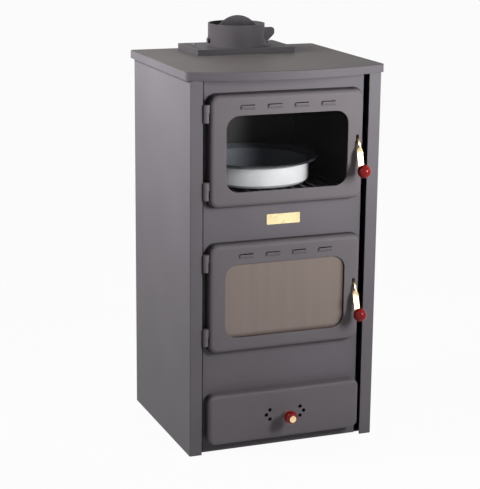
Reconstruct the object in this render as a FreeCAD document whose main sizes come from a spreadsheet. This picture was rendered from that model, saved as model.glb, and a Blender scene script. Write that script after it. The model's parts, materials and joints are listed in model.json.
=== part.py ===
import FreeCAD, Part
import math
import os
from types import SimpleNamespace

import Sketcher

# A free-standing wood stove with an oven above the fire and an ash drawer below it.
# X runs to the right, Y to the back and Z up. The origin is on the floor, under the
# middle of the casing. The front of the stove looks along -Y.

# Driving dimensions in millimetres
SIZES = {
    # casing of folded sheet
    "casing_width": 440.0,
    "casing_depth": 390.0,
    "casing_sheet": 3.0,
    "casing_bend": 2.5,
    "post_width": 28.0,
    "rear_lip": 15.0,
    "base_sheet": 4.0,
    "notch_room": 12.0,
    # top plate with a bowed front edge
    "top_height": 850.0,
    "top_sheet": 5.0,
    "skirt_depth": 18.0,
    "skirt_wall": 4.0,
    "top_side_overhang": 8.5,
    "top_back_overhang": 7.0,
    "top_corner_setback": 4.0,
    "top_bow": 42.0,
    "top_corner_round": 9.0,
    "top_edge_round": 2.0,
    # back panel and its screws
    "vent_width": 8.0,
    "vent_height": 60.0,
    "vent_pitch": 36.0,
    "vent_low": 80.0,
    "vent_from_top": 130.0,
    "screw_head": 4.5,
    "screw_head_height": 3.0,
    "screw_shank": 2.0,
    "screw_low": 50.0,
    "screw_from_top": 50.0,
    # recessed front panel
    "front_recess": 15.0,
    "panel_side_gap": 34.0,
    "panel_sheet": 3.0,
    "panel_return": 30.0,
    "panel_round": 2.5,
    "mouth_side_inset": 26.0,
    "mouth_end_inset": 14.0,
    "mouth_corner": 8.0,
    # doors
    "door_side_gap": 8.0,
    "door_height": 242.0,
    "door_proud": 6.0,
    "door_depth": 17.0,
    "door_sheet": 3.0,
    "door_corner": 20.0,
    "door_edge_round": 10.0,
    "door_lip": 8.0,
    "window_side_rail": 37.0,
    "window_end_rail": 38.5,
    "window_drop": 6.5,
    "window_corner": 29.0,
    "window_round": 1.0,
    "louvre_width": 38.0,
    "louvre_end_slope": 4.0,
    "louvre_height": 12.0,
    "louvre_crest": 3.5,
    "louvre_rise": 3.2,
    "louvre_wall": 1.0,
    "louvre_slit": 1.4,
    "louvre_pitch": 62.0,
    "louvre_from_top": 23.5,
    # glass and what holds it
    "glass_sheet": 4.0,
    "glass_lap": 10.0,
    "gasket_sheet": 2.0,
    "gasket_width": 8.0,
    "clip_width": 22.0,
    "clip_sheet": 2.0,
    "clip_lap": 7.0,
    "clip_foot": 9.0,
    "clip_spread": 96.0,
    "clip_room": 0.3,
    "seal_width": 10.0,
    "seal_show": 3.0,
    "seal_gap": 0.3,
    # lift-off hinges
    "hinge_radius": 6.0,
    "hinge_out": 7.5,
    "hinge_back": 4.0,
    "hinge_inset": 19.0,
    "hinge_fixed_height": 20.0,
    "hinge_door_height": 17.5,
    "hinge_gap": 0.3,
    "hinge_leaf": 9.0,
    "hinge_leaf_start": -1.0,
    "hinge_leg": 5.0,
    "hinge_leg_side": 2.0,
    "hinge_floor": 4.0,
    "hinge_pin": 3.0,
    "hinge_pin_up": 15.0,
    "hinge_pin_fit": 0.02,
    "hinge_run_fit": 0.05,
    # latches
    "latch_inset": 14.4,
    "latch_rise": 9.0,
    "latch_depth": 10.0,
    "latch_slot_width": 6.4,
    "latch_slot_up": 12.0,
    "latch_slot_down": 5.0,
    "latch_pin": 2.5,
    "latch_fit": 0.05,
    "latch_ear": 2.0,
    "latch_ear_gap": 0.2,
    "latch_ear_half": 8.0,
    "latch_ear_deep": 11.0,
    "lever_sheet": 4.0,
    "lever_height": 7.0,
    "lever_width": 14.0,
    "lever_boss": 5.8,
    "lever_stub": 6.0,
    "lever_length": 76.0,
    "lever_nose": 8.5,
    "lever_nose_height": 6.0,
    "lever_stud": 3.0,
    "lever_stud_length": 11.0,
    "keeper_gap": 0.3,
    "keeper_sheet": 2.0,
    "keeper_side_gap": 0.5,
    "keeper_reach": 6.0,
    "ball_radius": 15.0,
    "ball_seat": 12.0,
    "ball_from_end": 7.0,
    "ball_fit": 0.05,
    # ash drawer
    "drawer_side_gap": 6.5,
    "drawer_low": 24.0,
    "drawer_height": 114.0,
    "drawer_proud": 15.0,
    "drawer_panel_gap": 4.0,
    "drawer_sheet": 3.0,
    "drawer_corner": 16.0,
    "drawer_edge_round": 7.0,
    "ash_side_gap": 29.5,
    "ash_lift": 7.0,
    "ash_top_drop": 27.0,
    "ash_front_height": 30.0,
    "ash_sheet": 2.0,
    "ash_rear_gap": 88.0,
    "ash_mouth_room": 4.0,
    "ash_tab": 14.0,
    "ash_tab_end_gap": 15.0,
    "rivet_head": 4.0,
    "rivet_head_height": 2.0,
    "rivet_shank": 2.0,
    "rivet_fit": 0.05,
    "rivet_edge_gap": 10.0,
    "runner_shelf": 22.0,
    "runner_sheet": 2.7,
    "runner_gap": 0.3,
    "runner_guide": 16.0,
    "runner_past_ash": 30.0,
    # air regulator on the drawer
    "air_hole": 4.3,
    "air_hole_edge_gap": 6.0,
    "air_hole_step": 8.7,
    "air_hole_rise": 10.8,
    "disc_edge_gap": 3.0,
    "disc_sheet": 2.0,
    "disc_gap": 0.3,
    "stem_radius": 4.0,
    "stem_fit": 0.05,
    "knob_reach": 33.0,
    "knob_face": 12.6,
    "knob_bore": 9.0,
    "insert_radius": 7.6,
    "insert_deep": 3.0,
    "nut_radius": 7.0,
    "nut_height": 5.0,
    # firebox
    "wall_sheet": 3.0,
    "fire_back_gap": 11.0,
    "grate_gap": 39.0,
    "grate_sheet": 4.0,
    "grate_side_gap": 38.0,
    "grate_front_gap": 53.0,
    "grate_rear_gap": 46.0,
    "grate_rest": 12.0,
    "grate_height": 12.0,
    "grate_end_rib": 19.0,
    "grate_middle_rib": 20.0,
    "grate_edge_rib": 18.0,
    "grate_slot": 10.0,
    "brick_sheet": 30.0,
    "fire_throat": 142.0,
    "brick_joint": 0.4,
    "brick_front_room": 2.0,
    # oven
    "oven_side_gap": 25.0,
    "oven_end_inset": 12.0,
    "smoke_gap": 38.0,
    "rack_runner": 12.0,
    "rack_runner_lift": 1.0,
    "rack_side_gap": 6.0,
    "rack_front_gap": 9.0,
    "rack_rear_gap": 8.0,
    "rack_rod": 2.6,
    "tin_x": -6.0,
    "tin_shift_back": 3.0,
    "tin_side_gap": 12.0,
    "tin_flare": 18.0,
    "tin_flare_height": 8.0,
    "tin_foot": 6.0,
    "tin_lip": 4.0,
    "tin_lip_height": 2.5,
    "tin_height": 54.0,
    "tin_sheet": 1.6,
    # flue
    "flue_from_rear": 80.0,
    "flue_base_width": 235.0,
    "flue_base_edge": 3.0,
    "flue_base_height": 13.5,
    "flue_hole_step": 2.0,
    "groove_length": 10.0,
    "groove_width": 4.0,
    "groove_deep": 2.0,
    "groove_pitch": 13.0,
    "groove_edge": 6.0,
    "collar_radius": 65.0,
    "collar_wall": 3.0,
    "collar_height": 50.5,
    "collar_foot_height": 19.5,
    "collar_foot": 0.6,
    "flue_screw_edge": 25.5,
    "flue_screw_y": 32.0,
    # damper
    "damper_level": 12.5,
    "damper_gap": 4.0,
    "damper_sheet": 3.0,
    "shaft_radius": 4.0,
    "shaft_fit": 0.05,
    "shaft_head": 5.5,
    "shaft_head_length": 4.0,
    "shaft_end_gap": 1.0,
    "tab_start": 4.5,
    "tab_foot": 8.0,
    "tab_width": 24.0,
    "tab_height": 31.0,
    "tab_below": 5.0,
    "tab_sheet": 3.0,
    "tab_round": 8.0,
    # bare brass plate
    "plate_width": 78.0,
    "plate_height": 23.0,
    "plate_sheet": 1.2,
    "plate_rise": 4.0,
    "plate_corner": 2.0,
    # every cut runs past its face by this much
    "overrun": 1.0,
}

# Angles in degrees, counts and shares
LEVER_LEAN = 16.5
LOUVRE_COUNT = 4
VENT_COUNT = 9
GROOVE_COUNT = 8
RACK_BAR_COUNT = 10
GRATE_SLOT_COUNT = 9
BRICK_COUNT = 3
GAP_SHARES = {"over_drawer": 95, "between_doors": 82, "over_oven": 51}
TWIST_SHARES = (0.0, 0.08, 0.16, 0.2, 0.24, 0.28, 0.34, 1.0)
TWIST_ANGLES = (0.0, 0.0, 12.0, 30.0, 52.0, 75.0, 90.0, 90.0)


class Length:
    """A length of the sheet, or one worked out from such lengths: its value and its expression."""

    def __init__(self, value, text):
        self.value = value
        self.text = text

    def __add__(self, other):
        return Length(self.value + other.value, f"({self.text} + {other.text})")

    def __sub__(self, other):
        return Length(self.value - other.value, f"({self.text} - {other.text})")

    def __neg__(self):
        return Length(-self.value, f"(-1 * {self.text})")

    def __mul__(self, factor):
        return Length(self.value * factor, f"({self.text} * {factor!r})")

    def __truediv__(self, factor):
        return Length(self.value / factor, f"({self.text} / {factor!r})")


def hypotenuse_leg(longest, leg):
    """The other leg of a right triangle."""
    value = math.sqrt(longest.value ** 2 - leg.value ** 2)
    return Length(value, f"sqrt({longest.text} * {longest.text} - {leg.text} * {leg.text})")


def arc_radius(half_chord, rise):
    """The radius of an arc from half its chord and its rise."""
    value = (half_chord.value ** 2 + rise.value ** 2) / (2 * rise.value)
    squares = f"{half_chord.text} * {half_chord.text} + {rise.text} * {rise.text}"
    return Length(value, f"(({squares}) / (2 * {rise.text}))")


def smaller(first, second):
    """The smaller of two lengths."""
    return Length(min(first.value, second.value), f"min({first.text}; {second.text})")


doc = FreeCAD.newDocument("stove_with_oven")
sheet = doc.addObject("Spreadsheet::Sheet", "sizes")
for row, (size_name, size_value) in enumerate(SIZES.items(), start=1):
    sheet.set(f"A{row}", size_name)
    sheet.set(f"B{row}", str(size_value))
    sheet.setAlias(f"B{row}", size_name)
doc.recompute()

s = SimpleNamespace(**{name: Length(value, f"sizes.{name}") for name, value in SIZES.items()})
ZERO = Length(0.0, "0")
nodes = []


def bind(thing, prop, size):
    """Ties one property of an object to the sheet."""
    thing.setExpression(prop, size.text)


def place(thing, x, y, z):
    """Ties an object's place to the sheet."""
    for axis, size in zip("xyz", (x, y, z)):
        bind(thing, f"Placement.Base.{axis}", size)


def keep(thing):
    """Counts an object as a finished piece of the stove."""
    nodes.append(thing)
    return thing


def block(name, x, y, z):
    """A box between the low and high lengths of each axis."""
    box = doc.addObject("Part::Box", name)
    for prop, (low, high) in zip(("Length", "Width", "Height"), (x, y, z)):
        bind(box, prop, high - low)
    place(box, x[0], y[0], z[0])
    return box


TURNS = {
    "x": FreeCAD.Rotation(FreeCAD.Vector(0, 1, 0), 90),
    "y": FreeCAD.Rotation(FreeCAD.Vector(1, 0, 0), -90),
    "z": FreeCAD.Rotation(),
}


def rod(name, start, radius, length, along="z"):
    """A cylinder from its start point along one axis, or along a given turn of Z."""
    cylinder = doc.addObject("Part::Cylinder", name)
    turn = TURNS[along] if isinstance(along, str) else along
    cylinder.Placement = FreeCAD.Placement(FreeCAD.Vector(), turn)
    bind(cylinder, "Radius", radius)
    bind(cylinder, "Height", length)
    place(cylinder, *start)
    return cylinder


def ball(name, centre, radius, flat, turn):
    """A ball cut flat at a distance from its centre, on the side that the turn gives Z."""
    sphere = doc.addObject("Part::Sphere", name)
    sphere.Placement = FreeCAD.Placement(FreeCAD.Vector(), turn)
    bind(sphere, "Radius", radius)
    sphere.setExpression("Angle2", f"asin({flat.text} / {radius.text})")
    place(sphere, *centre)
    return sphere


def fuse(name, *pieces):
    """One solid of several that touch."""
    joined = doc.addObject("Part::MultiFuse", name)
    joined.Shapes = list(pieces)
    joined.Refine = True
    return joined


def cut(name, base, *tools):
    """A solid less one or more others."""
    result = doc.addObject("Part::Cut", name)
    result.Base = base
    result.Tool = tools[0] if len(tools) == 1 else group(name + "_tools", *tools)
    result.Refine = True
    return result


def group(name, *pieces):
    """Separate solids in one node."""
    compound = doc.addObject("Part::Compound", name)
    compound.Links = list(pieces)
    return compound


def new_body(name):
    """An empty body for sketched features."""
    return doc.addObject("PartDesign::Body", name)


def origin_plane(body, role):
    """A body's own origin plane."""
    return next(item for item in body.Origin.OriginFeatures if item.Role == role)


def new_sketch(body, name, role, offset=ZERO):
    """A sketch on a body's origin plane, moved along the plane's normal."""
    sketch = body.newObject("Sketcher::SketchObject", name)
    sketch.AttachmentSupport = [(origin_plane(body, role), "")]
    sketch.MapMode = "FlatFace"
    bind(sketch, "AttachmentOffset.Base.z", offset)
    return sketch


def front_sketch(body, name, y):
    """A sketch that faces the front at a given depth: its axes are X and Z."""
    return new_sketch(body, name, "XZ_Plane", -y)


def constrain(sketch, kind, *places, size=None):
    """Adds a constraint, tied to the sheet where it holds a size."""
    if size is None:
        return sketch.addConstraint(Sketcher.Constraint(kind, *places))
    index = sketch.addConstraint(Sketcher.Constraint(kind, *places, size.value))
    sketch.setExpression(f"Constraints[{index}]", size.text)
    return index


ORIGIN_POINT = (-1, 1)
START, END, CENTRE = range(1, 4)


def fix_point(sketch, geometry, end, x, y):
    """Fixes one point of a sketch from its origin."""
    constrain(sketch, "DistanceX", *ORIGIN_POINT, geometry, end, size=x)
    constrain(sketch, "DistanceY", *ORIGIN_POINT, geometry, end, size=y)


def vector(x, y):
    """A sketch point from two lengths."""
    return FreeCAD.Vector(x.value, y.value, 0)


def outline(sketch, points):
    """A closed outline of straight lines."""
    lines = []
    for index, point in enumerate(points):
        following = points[(index + 1) % len(points)]
        segment = Part.LineSegment(vector(*point), vector(*following))
        lines.append(sketch.addGeometry(segment))
    for index, line in enumerate(lines):
        constrain(sketch, "Coincident", line, END, lines[(index + 1) % len(lines)], START)
        fix_point(sketch, line, START, *points[index])


def rectangle(sketch, x, y):
    """A rectangle between low and high lengths."""
    outline(sketch, [(x[0], y[0]), (x[1], y[0]), (x[1], y[1]), (x[0], y[1])])


def rounded(sketch, x, y, radius):
    """A rectangle with round corners: four arcs, each tangent to the lines beside it."""
    centres = [
        (x[1] - radius, y[1] - radius),
        (x[0] + radius, y[1] - radius),
        (x[0] + radius, y[0] + radius),
        (x[1] - radius, y[0] + radius),
    ]
    arcs = []
    for quarter, centre in enumerate(centres):
        circle = Part.Circle(vector(*centre), FreeCAD.Vector(0, 0, 1), radius.value)
        first = quarter * math.pi / 2
        arc = sketch.addGeometry(Part.ArcOfCircle(circle, first, first + math.pi / 2))
        fix_point(sketch, arc, CENTRE, *centre)
        constrain(sketch, "Radius", arc, size=radius)
        arcs.append(arc)
    for index, arc in enumerate(arcs):
        following = arcs[(index + 1) % len(arcs)]
        leaves = sketch.getPoint(arc, END)
        meets = sketch.getPoint(following, START)
        line = sketch.addGeometry(Part.LineSegment(leaves, meets))
        constrain(sketch, "Tangent", arc, END, line, START)
        constrain(sketch, "Tangent", line, END, following, START)


def ring(sketch, x, y, radius, width):
    """Two round-cornered rectangles, one inside the other."""
    rounded(sketch, x, y, radius)
    inner_x = (x[0] + width, x[1] - width)
    inner_y = (y[0] + width, y[1] - width)
    rounded(sketch, inner_x, inner_y, radius - width)


def circle(sketch, x, y, radius):
    """A circle from its centre."""
    shape = Part.Circle(vector(x, y), FreeCAD.Vector(0, 0, 1), radius.value)
    geometry = sketch.addGeometry(shape)
    fix_point(sketch, geometry, CENTRE, x, y)
    constrain(sketch, "Radius", geometry, size=radius)


def pad(body, sketch, length, reverse=False):
    """Extrudes a sketch along its normal, or against it."""
    feature = body.newObject("PartDesign::Pad", sketch.Name + "_pad")
    feature.Profile = sketch
    feature.Reversed = reverse
    bind(feature, "Length", length)
    return feature


def pocket(body, sketch, length, reverse=False):
    """Cuts a sketch against its normal, or along it, and checks that it removes something."""
    doc.recompute()
    before = body.Shape.Volume
    feature = body.newObject("PartDesign::Pocket", sketch.Name + "_pocket")
    feature.Profile = sketch
    feature.Reversed = reverse
    bind(feature, "Length", length)
    doc.recompute()
    if body.Shape.Volume >= before:
        raise RuntimeError(f"{feature.Name} removes nothing")
    return feature


def soften(body, name, radius, test):
    """Rounds the edges of a body that a test picks."""
    doc.recompute()
    edges = [f"Edge{i}" for i, edge in enumerate(body.Shape.Edges, start=1) if test(edge)]
    if not edges:
        raise RuntimeError(f"{name} has no edges")
    base = body.Tip
    feature = body.newObject("PartDesign::Fillet", name)
    feature.Base = (base, edges)
    bind(feature, "Radius", radius)
    return feature


TOUCH = 1e-4


def edge_in_plane(axis, size):
    """A test for edges that lie in one plane."""
    def test(edge):
        low = getattr(edge.BoundBox, axis + "Min")
        high = getattr(edge.BoundBox, axis + "Max")
        return abs(low - size.value) < TOUCH and abs(high - size.value) < TOUCH
    return test


def upright_edge_at(x, y):
    """A test for upright edges at one of several places."""
    def test(edge):
        box = edge.BoundBox
        upright = box.XLength < TOUCH and box.YLength < TOUCH
        return upright and abs(abs(box.XMin) - x.value) < TOUCH and abs(box.YMin - y.value) < TOUCH
    return test


# Shared places: the planes that pieces line up with
half_casing = s.casing_width / 2
casing_inside = half_casing - s.casing_sheet
post_face = -s.casing_depth / 2
casing_rear = s.casing_depth / 2
lip_inside = casing_rear - s.casing_sheet
back_inside = lip_inside - s.casing_sheet
under_top = s.top_height - s.top_sheet
skirt_bottom = s.top_height - s.skirt_depth
post_top = skirt_bottom - s.overrun
half_panel = half_casing - s.panel_side_gap
panel_face = post_face + s.front_recess
panel_rear = panel_face + s.panel_sheet
wall_outside = half_panel - s.panel_sheet
wall_inside = wall_outside - s.wall_sheet
half_door = half_panel - s.door_side_gap
half_window = half_door - s.window_side_rail
door_face = post_face - s.door_proud
door_skin = door_face + s.door_sheet
door_rear = door_face + s.door_depth
drawer_face = post_face - s.drawer_proud
drawer_skin = drawer_face + s.drawer_sheet
drawer_rear = panel_face - s.drawer_panel_gap
drawer_high = s.drawer_low + s.drawer_height
half_drawer = half_panel - s.drawer_side_gap
half_ash = half_drawer - s.ash_side_gap
ash_low = s.drawer_low + s.ash_lift
ash_high = drawer_high - s.ash_top_drop
fire_back = back_inside - s.fire_back_gap
ash_back = fire_back - s.ash_rear_gap
oven_back = fire_back - s.smoke_gap
oven_half_width = wall_inside - s.oven_side_gap
spare_height = s.top_height - drawer_high - s.door_height * 2
share_sum = sum(GAP_SHARES.values())
fire_door_low = drawer_high + spare_height * (GAP_SHARES["over_drawer"] / share_sum)
fire_door_high = fire_door_low + s.door_height
oven_door_low = fire_door_high + spare_height * (GAP_SHARES["between_doors"] / share_sum)
oven_floor = oven_door_low + s.oven_end_inset
oven_roof = oven_door_low + s.door_height - s.oven_end_inset
collar_inside = s.collar_radius - s.collar_wall
collar_outside = s.collar_radius + s.collar_foot
flue_y = casing_rear - s.flue_from_rear
flue_hole_radius = collar_inside - s.flue_hole_step
flue_floor = s.top_height + s.flue_base_height
collar_top = flue_floor + s.collar_height
shaft_level = flue_floor + s.damper_level
grate_level = ash_high + s.grate_gap
grate_top = grate_level + s.grate_sheet
hinge_x = -half_door - s.hinge_out
hinge_y = door_face + s.hinge_back
latch_x = half_door - s.latch_inset
latch_y = door_face + s.latch_depth
DOORS = {"oven": oven_door_low, "fire": fire_door_low}


def both(low, high):
    """The same stretch on the left and on the right."""
    return [(-high, -low), (low, high)]


def mirrored(half):
    """A stretch with the stove's middle at its middle."""
    return (-half, half)


# Casing: base plate, two folded side panels with their front posts, and the back panel
keep(block("base_plate", mirrored(casing_inside), (panel_rear, back_inside), (ZERO, s.base_sheet)))


def make_side_panel(name, side):
    """A sheet folded into a front post, a side and a rear lip, with its top front corner cut away."""
    body = new_body(name)
    profile = new_sketch(body, name + "_profile", "XY_Plane")
    points = [
        (half_casing, post_face),
        (half_casing, casing_rear),
        (half_casing - s.rear_lip, casing_rear),
        (half_casing - s.rear_lip, lip_inside),
        (casing_inside, lip_inside),
        (casing_inside, post_face + s.casing_sheet),
        (half_casing - s.post_width, post_face + s.casing_sheet),
        (half_casing - s.post_width, post_face),
    ]
    outline(profile, [(x * side, y) for x, y in points])
    pad(body, profile, under_top)
    soften(body, name + "_front_bend", s.casing_bend, upright_edge_at(half_casing, post_face))
    soften(body, name + "_rear_bend", s.casing_bend, upright_edge_at(half_casing, casing_rear))
    start = half_casing - s.post_width if side > 0 else -half_casing
    notch = new_sketch(body, name + "_notch", "YZ_Plane", start - s.overrun)
    rectangle(notch, (post_face - s.overrun, post_face + s.notch_room), (post_top, s.top_height))
    pocket(body, notch, s.post_width + s.overrun * 2, reverse=True)
    return keep(body)


make_side_panel("side_panel_left", -1)
make_side_panel("side_panel_right", 1)

vents = []
for row_name, low in (("low", s.vent_low), ("high", s.top_height - s.vent_from_top)):
    for index in range(VENT_COUNT):
        middle = s.vent_pitch * (index - (VENT_COUNT - 1) / 2)
        across = (middle - s.vent_width / 2, middle + s.vent_width / 2)
        through = (back_inside - s.overrun, lip_inside + s.overrun)
        vents.append(block(f"vent_{row_name}_{index}", across, through, (low, low + s.vent_height)))
screw_x = half_casing - s.rear_lip / 2
screw_high = s.top_height - s.screw_from_top
screw_levels = [s.screw_low, (s.screw_low + screw_high) / 2, screw_high]
screw_places = [(x, z) for x in (-screw_x, screw_x) for z in screw_levels]


back_blank = block("back_blank", mirrored(casing_inside), (back_inside, lip_inside), (ZERO, under_top))
keep(cut("back_panel", back_blank, *vents))
screws = []
for index, (x, z) in enumerate(screw_places):
    screws.append(rod(f"casing_screw_{index}", (x, casing_rear, z), s.screw_head, s.screw_head_height, "y"))
keep(group("casing_screws", *screws))


# Top plate: a pressed tray with a bowed front, upside down over the casing
def make_top_plate():
    """Pads the bowed outline, hollows it from below and cuts the flue hole."""
    half = half_casing + s.top_side_overhang
    rear = casing_rear + s.top_back_overhang
    corner = post_face + s.top_corner_setback
    radius = arc_radius(half, s.top_bow)
    centre = corner - s.top_bow + radius

    def bowed(sketch, inset):
        side = half - inset
        bow_radius = radius - inset
        front = centre - hypotenuse_leg(bow_radius, side)
        end = rear - inset
        corners = [(side, front), (side, end), (-side, end), (-side, front)]
        lines = []
        for first, second in zip(corners, corners[1:]):
            lines.append(sketch.addGeometry(Part.LineSegment(vector(*first), vector(*second))))
        middle = vector(ZERO, centre - bow_radius)
        bow = sketch.addGeometry(Part.Arc(vector(*corners[-1]), middle, vector(*corners[0])))
        for line, point in zip(lines, corners):
            fix_point(sketch, line, START, *point)
        fix_point(sketch, lines[-1], END, *corners[-1])
        for line, following in zip(lines, lines[1:]):
            constrain(sketch, "Coincident", line, END, following, START)
        constrain(sketch, "Coincident", lines[-1], END, bow, START)
        constrain(sketch, "Coincident", bow, END, lines[0], START)
        constrain(sketch, "Radius", bow, size=bow_radius)

    body = new_body("top_plate")
    blank = new_sketch(body, "top_outline", "XY_Plane", skirt_bottom)
    bowed(blank, ZERO)
    pad(body, blank, s.skirt_depth)
    soften(body, "top_front_corners", s.top_corner_round, upright_edge_at(half, corner))
    soften(body, "top_rear_corners", s.top_corner_round, upright_edge_at(half, rear))
    soften(body, "top_edges", s.top_edge_round, edge_in_plane("Z", s.top_height))
    hollow = new_sketch(body, "top_hollow", "XY_Plane", skirt_bottom)
    bowed(hollow, s.skirt_wall)
    pocket(body, hollow, s.skirt_depth - s.top_sheet, reverse=True)
    hole = new_sketch(body, "top_hole", "XY_Plane", s.top_height)
    circle(hole, ZERO, flue_y, flue_hole_radius)
    pocket(body, hole, s.skirt_depth)
    return keep(body)


make_top_plate()


# Front panel: a recessed sheet with returned sides and mouths for the oven, the fire and the drawer
def make_front_panel():
    """Pads the face with its three mouths, then the two side returns."""
    body = new_body("front_panel")
    face = front_sketch(body, "panel_outline", panel_face)
    rectangle(face, mirrored(half_panel), (ZERO, under_top))
    pad(body, face, s.panel_sheet, reverse=True)
    returns = new_sketch(body, "panel_returns", "XY_Plane", s.base_sheet)
    for side in both(wall_outside, half_panel):
        rectangle(returns, side, (panel_rear - s.panel_sheet / 2, panel_face + s.panel_return))
    pad(body, returns, under_top - s.base_sheet)
    soften(body, "panel_bends", s.panel_round, upright_edge_at(half_panel, panel_face))
    for name, low in DOORS.items():
        mouth = front_sketch(body, name + "_mouth", panel_face)
        ends = (low + s.mouth_end_inset, low + s.door_height - s.mouth_end_inset)
        rounded(mouth, mirrored(half_door - s.mouth_side_inset), ends, s.mouth_corner)
        pocket(body, mouth, s.panel_sheet)
    mouth = front_sketch(body, "ash_mouth", panel_face)
    ends = (ash_low - s.ash_mouth_room, ash_high + s.ash_mouth_room)
    rectangle(mouth, mirrored(half_ash + s.ash_mouth_room), ends)
    pocket(body, mouth, s.panel_sheet)
    return keep(body)


make_front_panel()

brass = new_body("brass_plate")
brass_outline = front_sketch(brass, "brass_outline", panel_face)
plate_level = (fire_door_high + oven_door_low) / 2 + s.plate_rise
brass_ends = (plate_level - s.plate_height / 2, plate_level + s.plate_height / 2)
rounded(brass_outline, mirrored(s.plate_width / 2), brass_ends, s.plate_corner)
pad(brass, brass_outline, s.plate_sheet)
keep(brass)

# Fire walls: two sides and a back that carry the top plate and guide the smoke
fire_front = panel_rear
fire_rear = fire_back + s.wall_sheet
sides = []
for index, across in enumerate(both(wall_inside, wall_outside)):
    sides.append(block(f"fire_wall_{index}", across, (fire_front, fire_rear), (s.base_sheet, under_top)))
keep(group("fire_walls", *sides))
back_span = (fire_back, fire_rear)
keep(block("fire_back_wall", mirrored(wall_inside), back_span, (s.base_sheet, under_top)))

# Grate, the plate that carries it, and the firebricks round the fire
brick_inside = wall_inside - s.brick_sheet
brick_rear = fire_back - s.brick_sheet
brick_front = fire_front + s.brick_front_room
half_grate = brick_inside - s.grate_side_gap
grate_front = brick_front + s.grate_front_gap
grate_back = brick_rear - s.grate_rear_gap
grate_blank = block(
    "grate_plate_blank", mirrored(wall_inside), (fire_front, fire_back), (grate_level, grate_top)
)
grate_hole = block(
    "grate_plate_hole",
    mirrored(half_grate - s.grate_rest),
    (grate_front + s.grate_rest, grate_back - s.grate_rest),
    (grate_level - s.overrun, grate_top + s.overrun),
)
keep(cut("grate_plate", grate_blank, grate_hole))
grate_high = grate_top + s.grate_height
grate_body = block("grate_blank", mirrored(half_grate), (grate_front, grate_back), (grate_top, grate_high))
first_slot = grate_front + s.grate_end_rib
slot_room = grate_back - s.grate_end_rib - s.grate_slot - first_slot
slots = []
for index in range(GRATE_SLOT_COUNT):
    low = first_slot + slot_room * (index / (GRATE_SLOT_COUNT - 1))
    up = (grate_top - s.overrun, grate_high + s.overrun)
    for side_name, across in zip(
        ("left", "right"), both(s.grate_middle_rib / 2, half_grate - s.grate_edge_rib)
    ):
        slots.append(block(f"grate_slot_{index}_{side_name}", across, (low, low + s.grate_slot), up))
keep(cut("fire_grate", grate_body, *slots))

brick_up = (grate_top, oven_floor - s.wall_sheet - s.fire_throat)
side_bricks = []
brick_step = (brick_rear - brick_front) / BRICK_COUNT
for side_name, across in zip(("left", "right"), both(brick_inside, wall_inside)):
    for index in range(BRICK_COUNT):
        low = brick_front + brick_step * index
        along = (low, low + brick_step - s.brick_joint)
        side_bricks.append(block(f"brick_{side_name}_{index}", across, along, brick_up))
keep(group("firebricks_side", *side_bricks))
back_bricks = []
back_step = brick_inside * 2 / BRICK_COUNT
for index in range(BRICK_COUNT):
    low = -brick_inside + back_step * index
    across = (low, low + back_step - s.brick_joint)
    back_bricks.append(block(f"brick_back_{index}", across, (brick_rear, fire_back), brick_up))
keep(group("firebricks_back", *back_bricks))

# Oven box of five plates, open at the front panel's mouth
oven_outside = oven_half_width + s.wall_sheet
oven_rear = oven_back + s.wall_sheet
oven_long = (fire_front, oven_rear)
floor_span = (oven_floor - s.wall_sheet, oven_floor)
roof_span = (oven_roof, oven_roof + s.wall_sheet)
oven_up = (oven_floor, oven_roof)
keep(block("oven_floor", mirrored(oven_outside), oven_long, floor_span))
keep(block("oven_roof", mirrored(oven_outside), oven_long, roof_span))
oven_sides = []
for index, across in enumerate(both(oven_half_width, oven_outside)):
    oven_sides.append(block(f"oven_side_{index}", across, oven_long, oven_up))
keep(group("oven_walls", *oven_sides))
keep(block("oven_back_wall", mirrored(oven_half_width), (oven_back, oven_rear), oven_up))

# Rack of wire on two angle runners, and the round baking tin that stands on it
runner_low = oven_floor + s.rack_runner_lift
runner_high = runner_low + s.wall_sheet
rack_front = panel_rear + s.rack_front_gap
rack_back = oven_back - s.rack_rear_gap
rack_half = oven_half_width - s.rack_side_gap
rack_long = (rack_front, rack_back)
rack_runners = []
for index, across in enumerate(both(oven_half_width - s.rack_runner, oven_half_width)):
    rack_runners.append(block(f"oven_runner_{index}", across, rack_long, (runner_low, runner_high)))
keep(group("oven_runners", *rack_runners))

rack_level = runner_high + s.rack_rod
rods = []
for index, x in enumerate((-rack_half, rack_half)):
    start = (x, rack_front, rack_level)
    rods.append(rod(f"rack_side_{index}", start, s.rack_rod, rack_back - rack_front, "y"))
for index, y in enumerate((rack_front + s.rack_rod, rack_back - s.rack_rod)):
    start = (-rack_half, y, rack_level)
    rods.append(rod(f"rack_end_{index}", start, s.rack_rod, rack_half * 2, "x"))
for index in range(RACK_BAR_COUNT):
    x = rack_half * (2 * (index + 1) / (RACK_BAR_COUNT + 1) - 1)
    start = (x, rack_front, rack_level)
    rods.append(rod(f"rack_bar_{index}", start, s.rack_rod, rack_back - rack_front, "y"))
keep(fuse("oven_rack", *rods))

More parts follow.
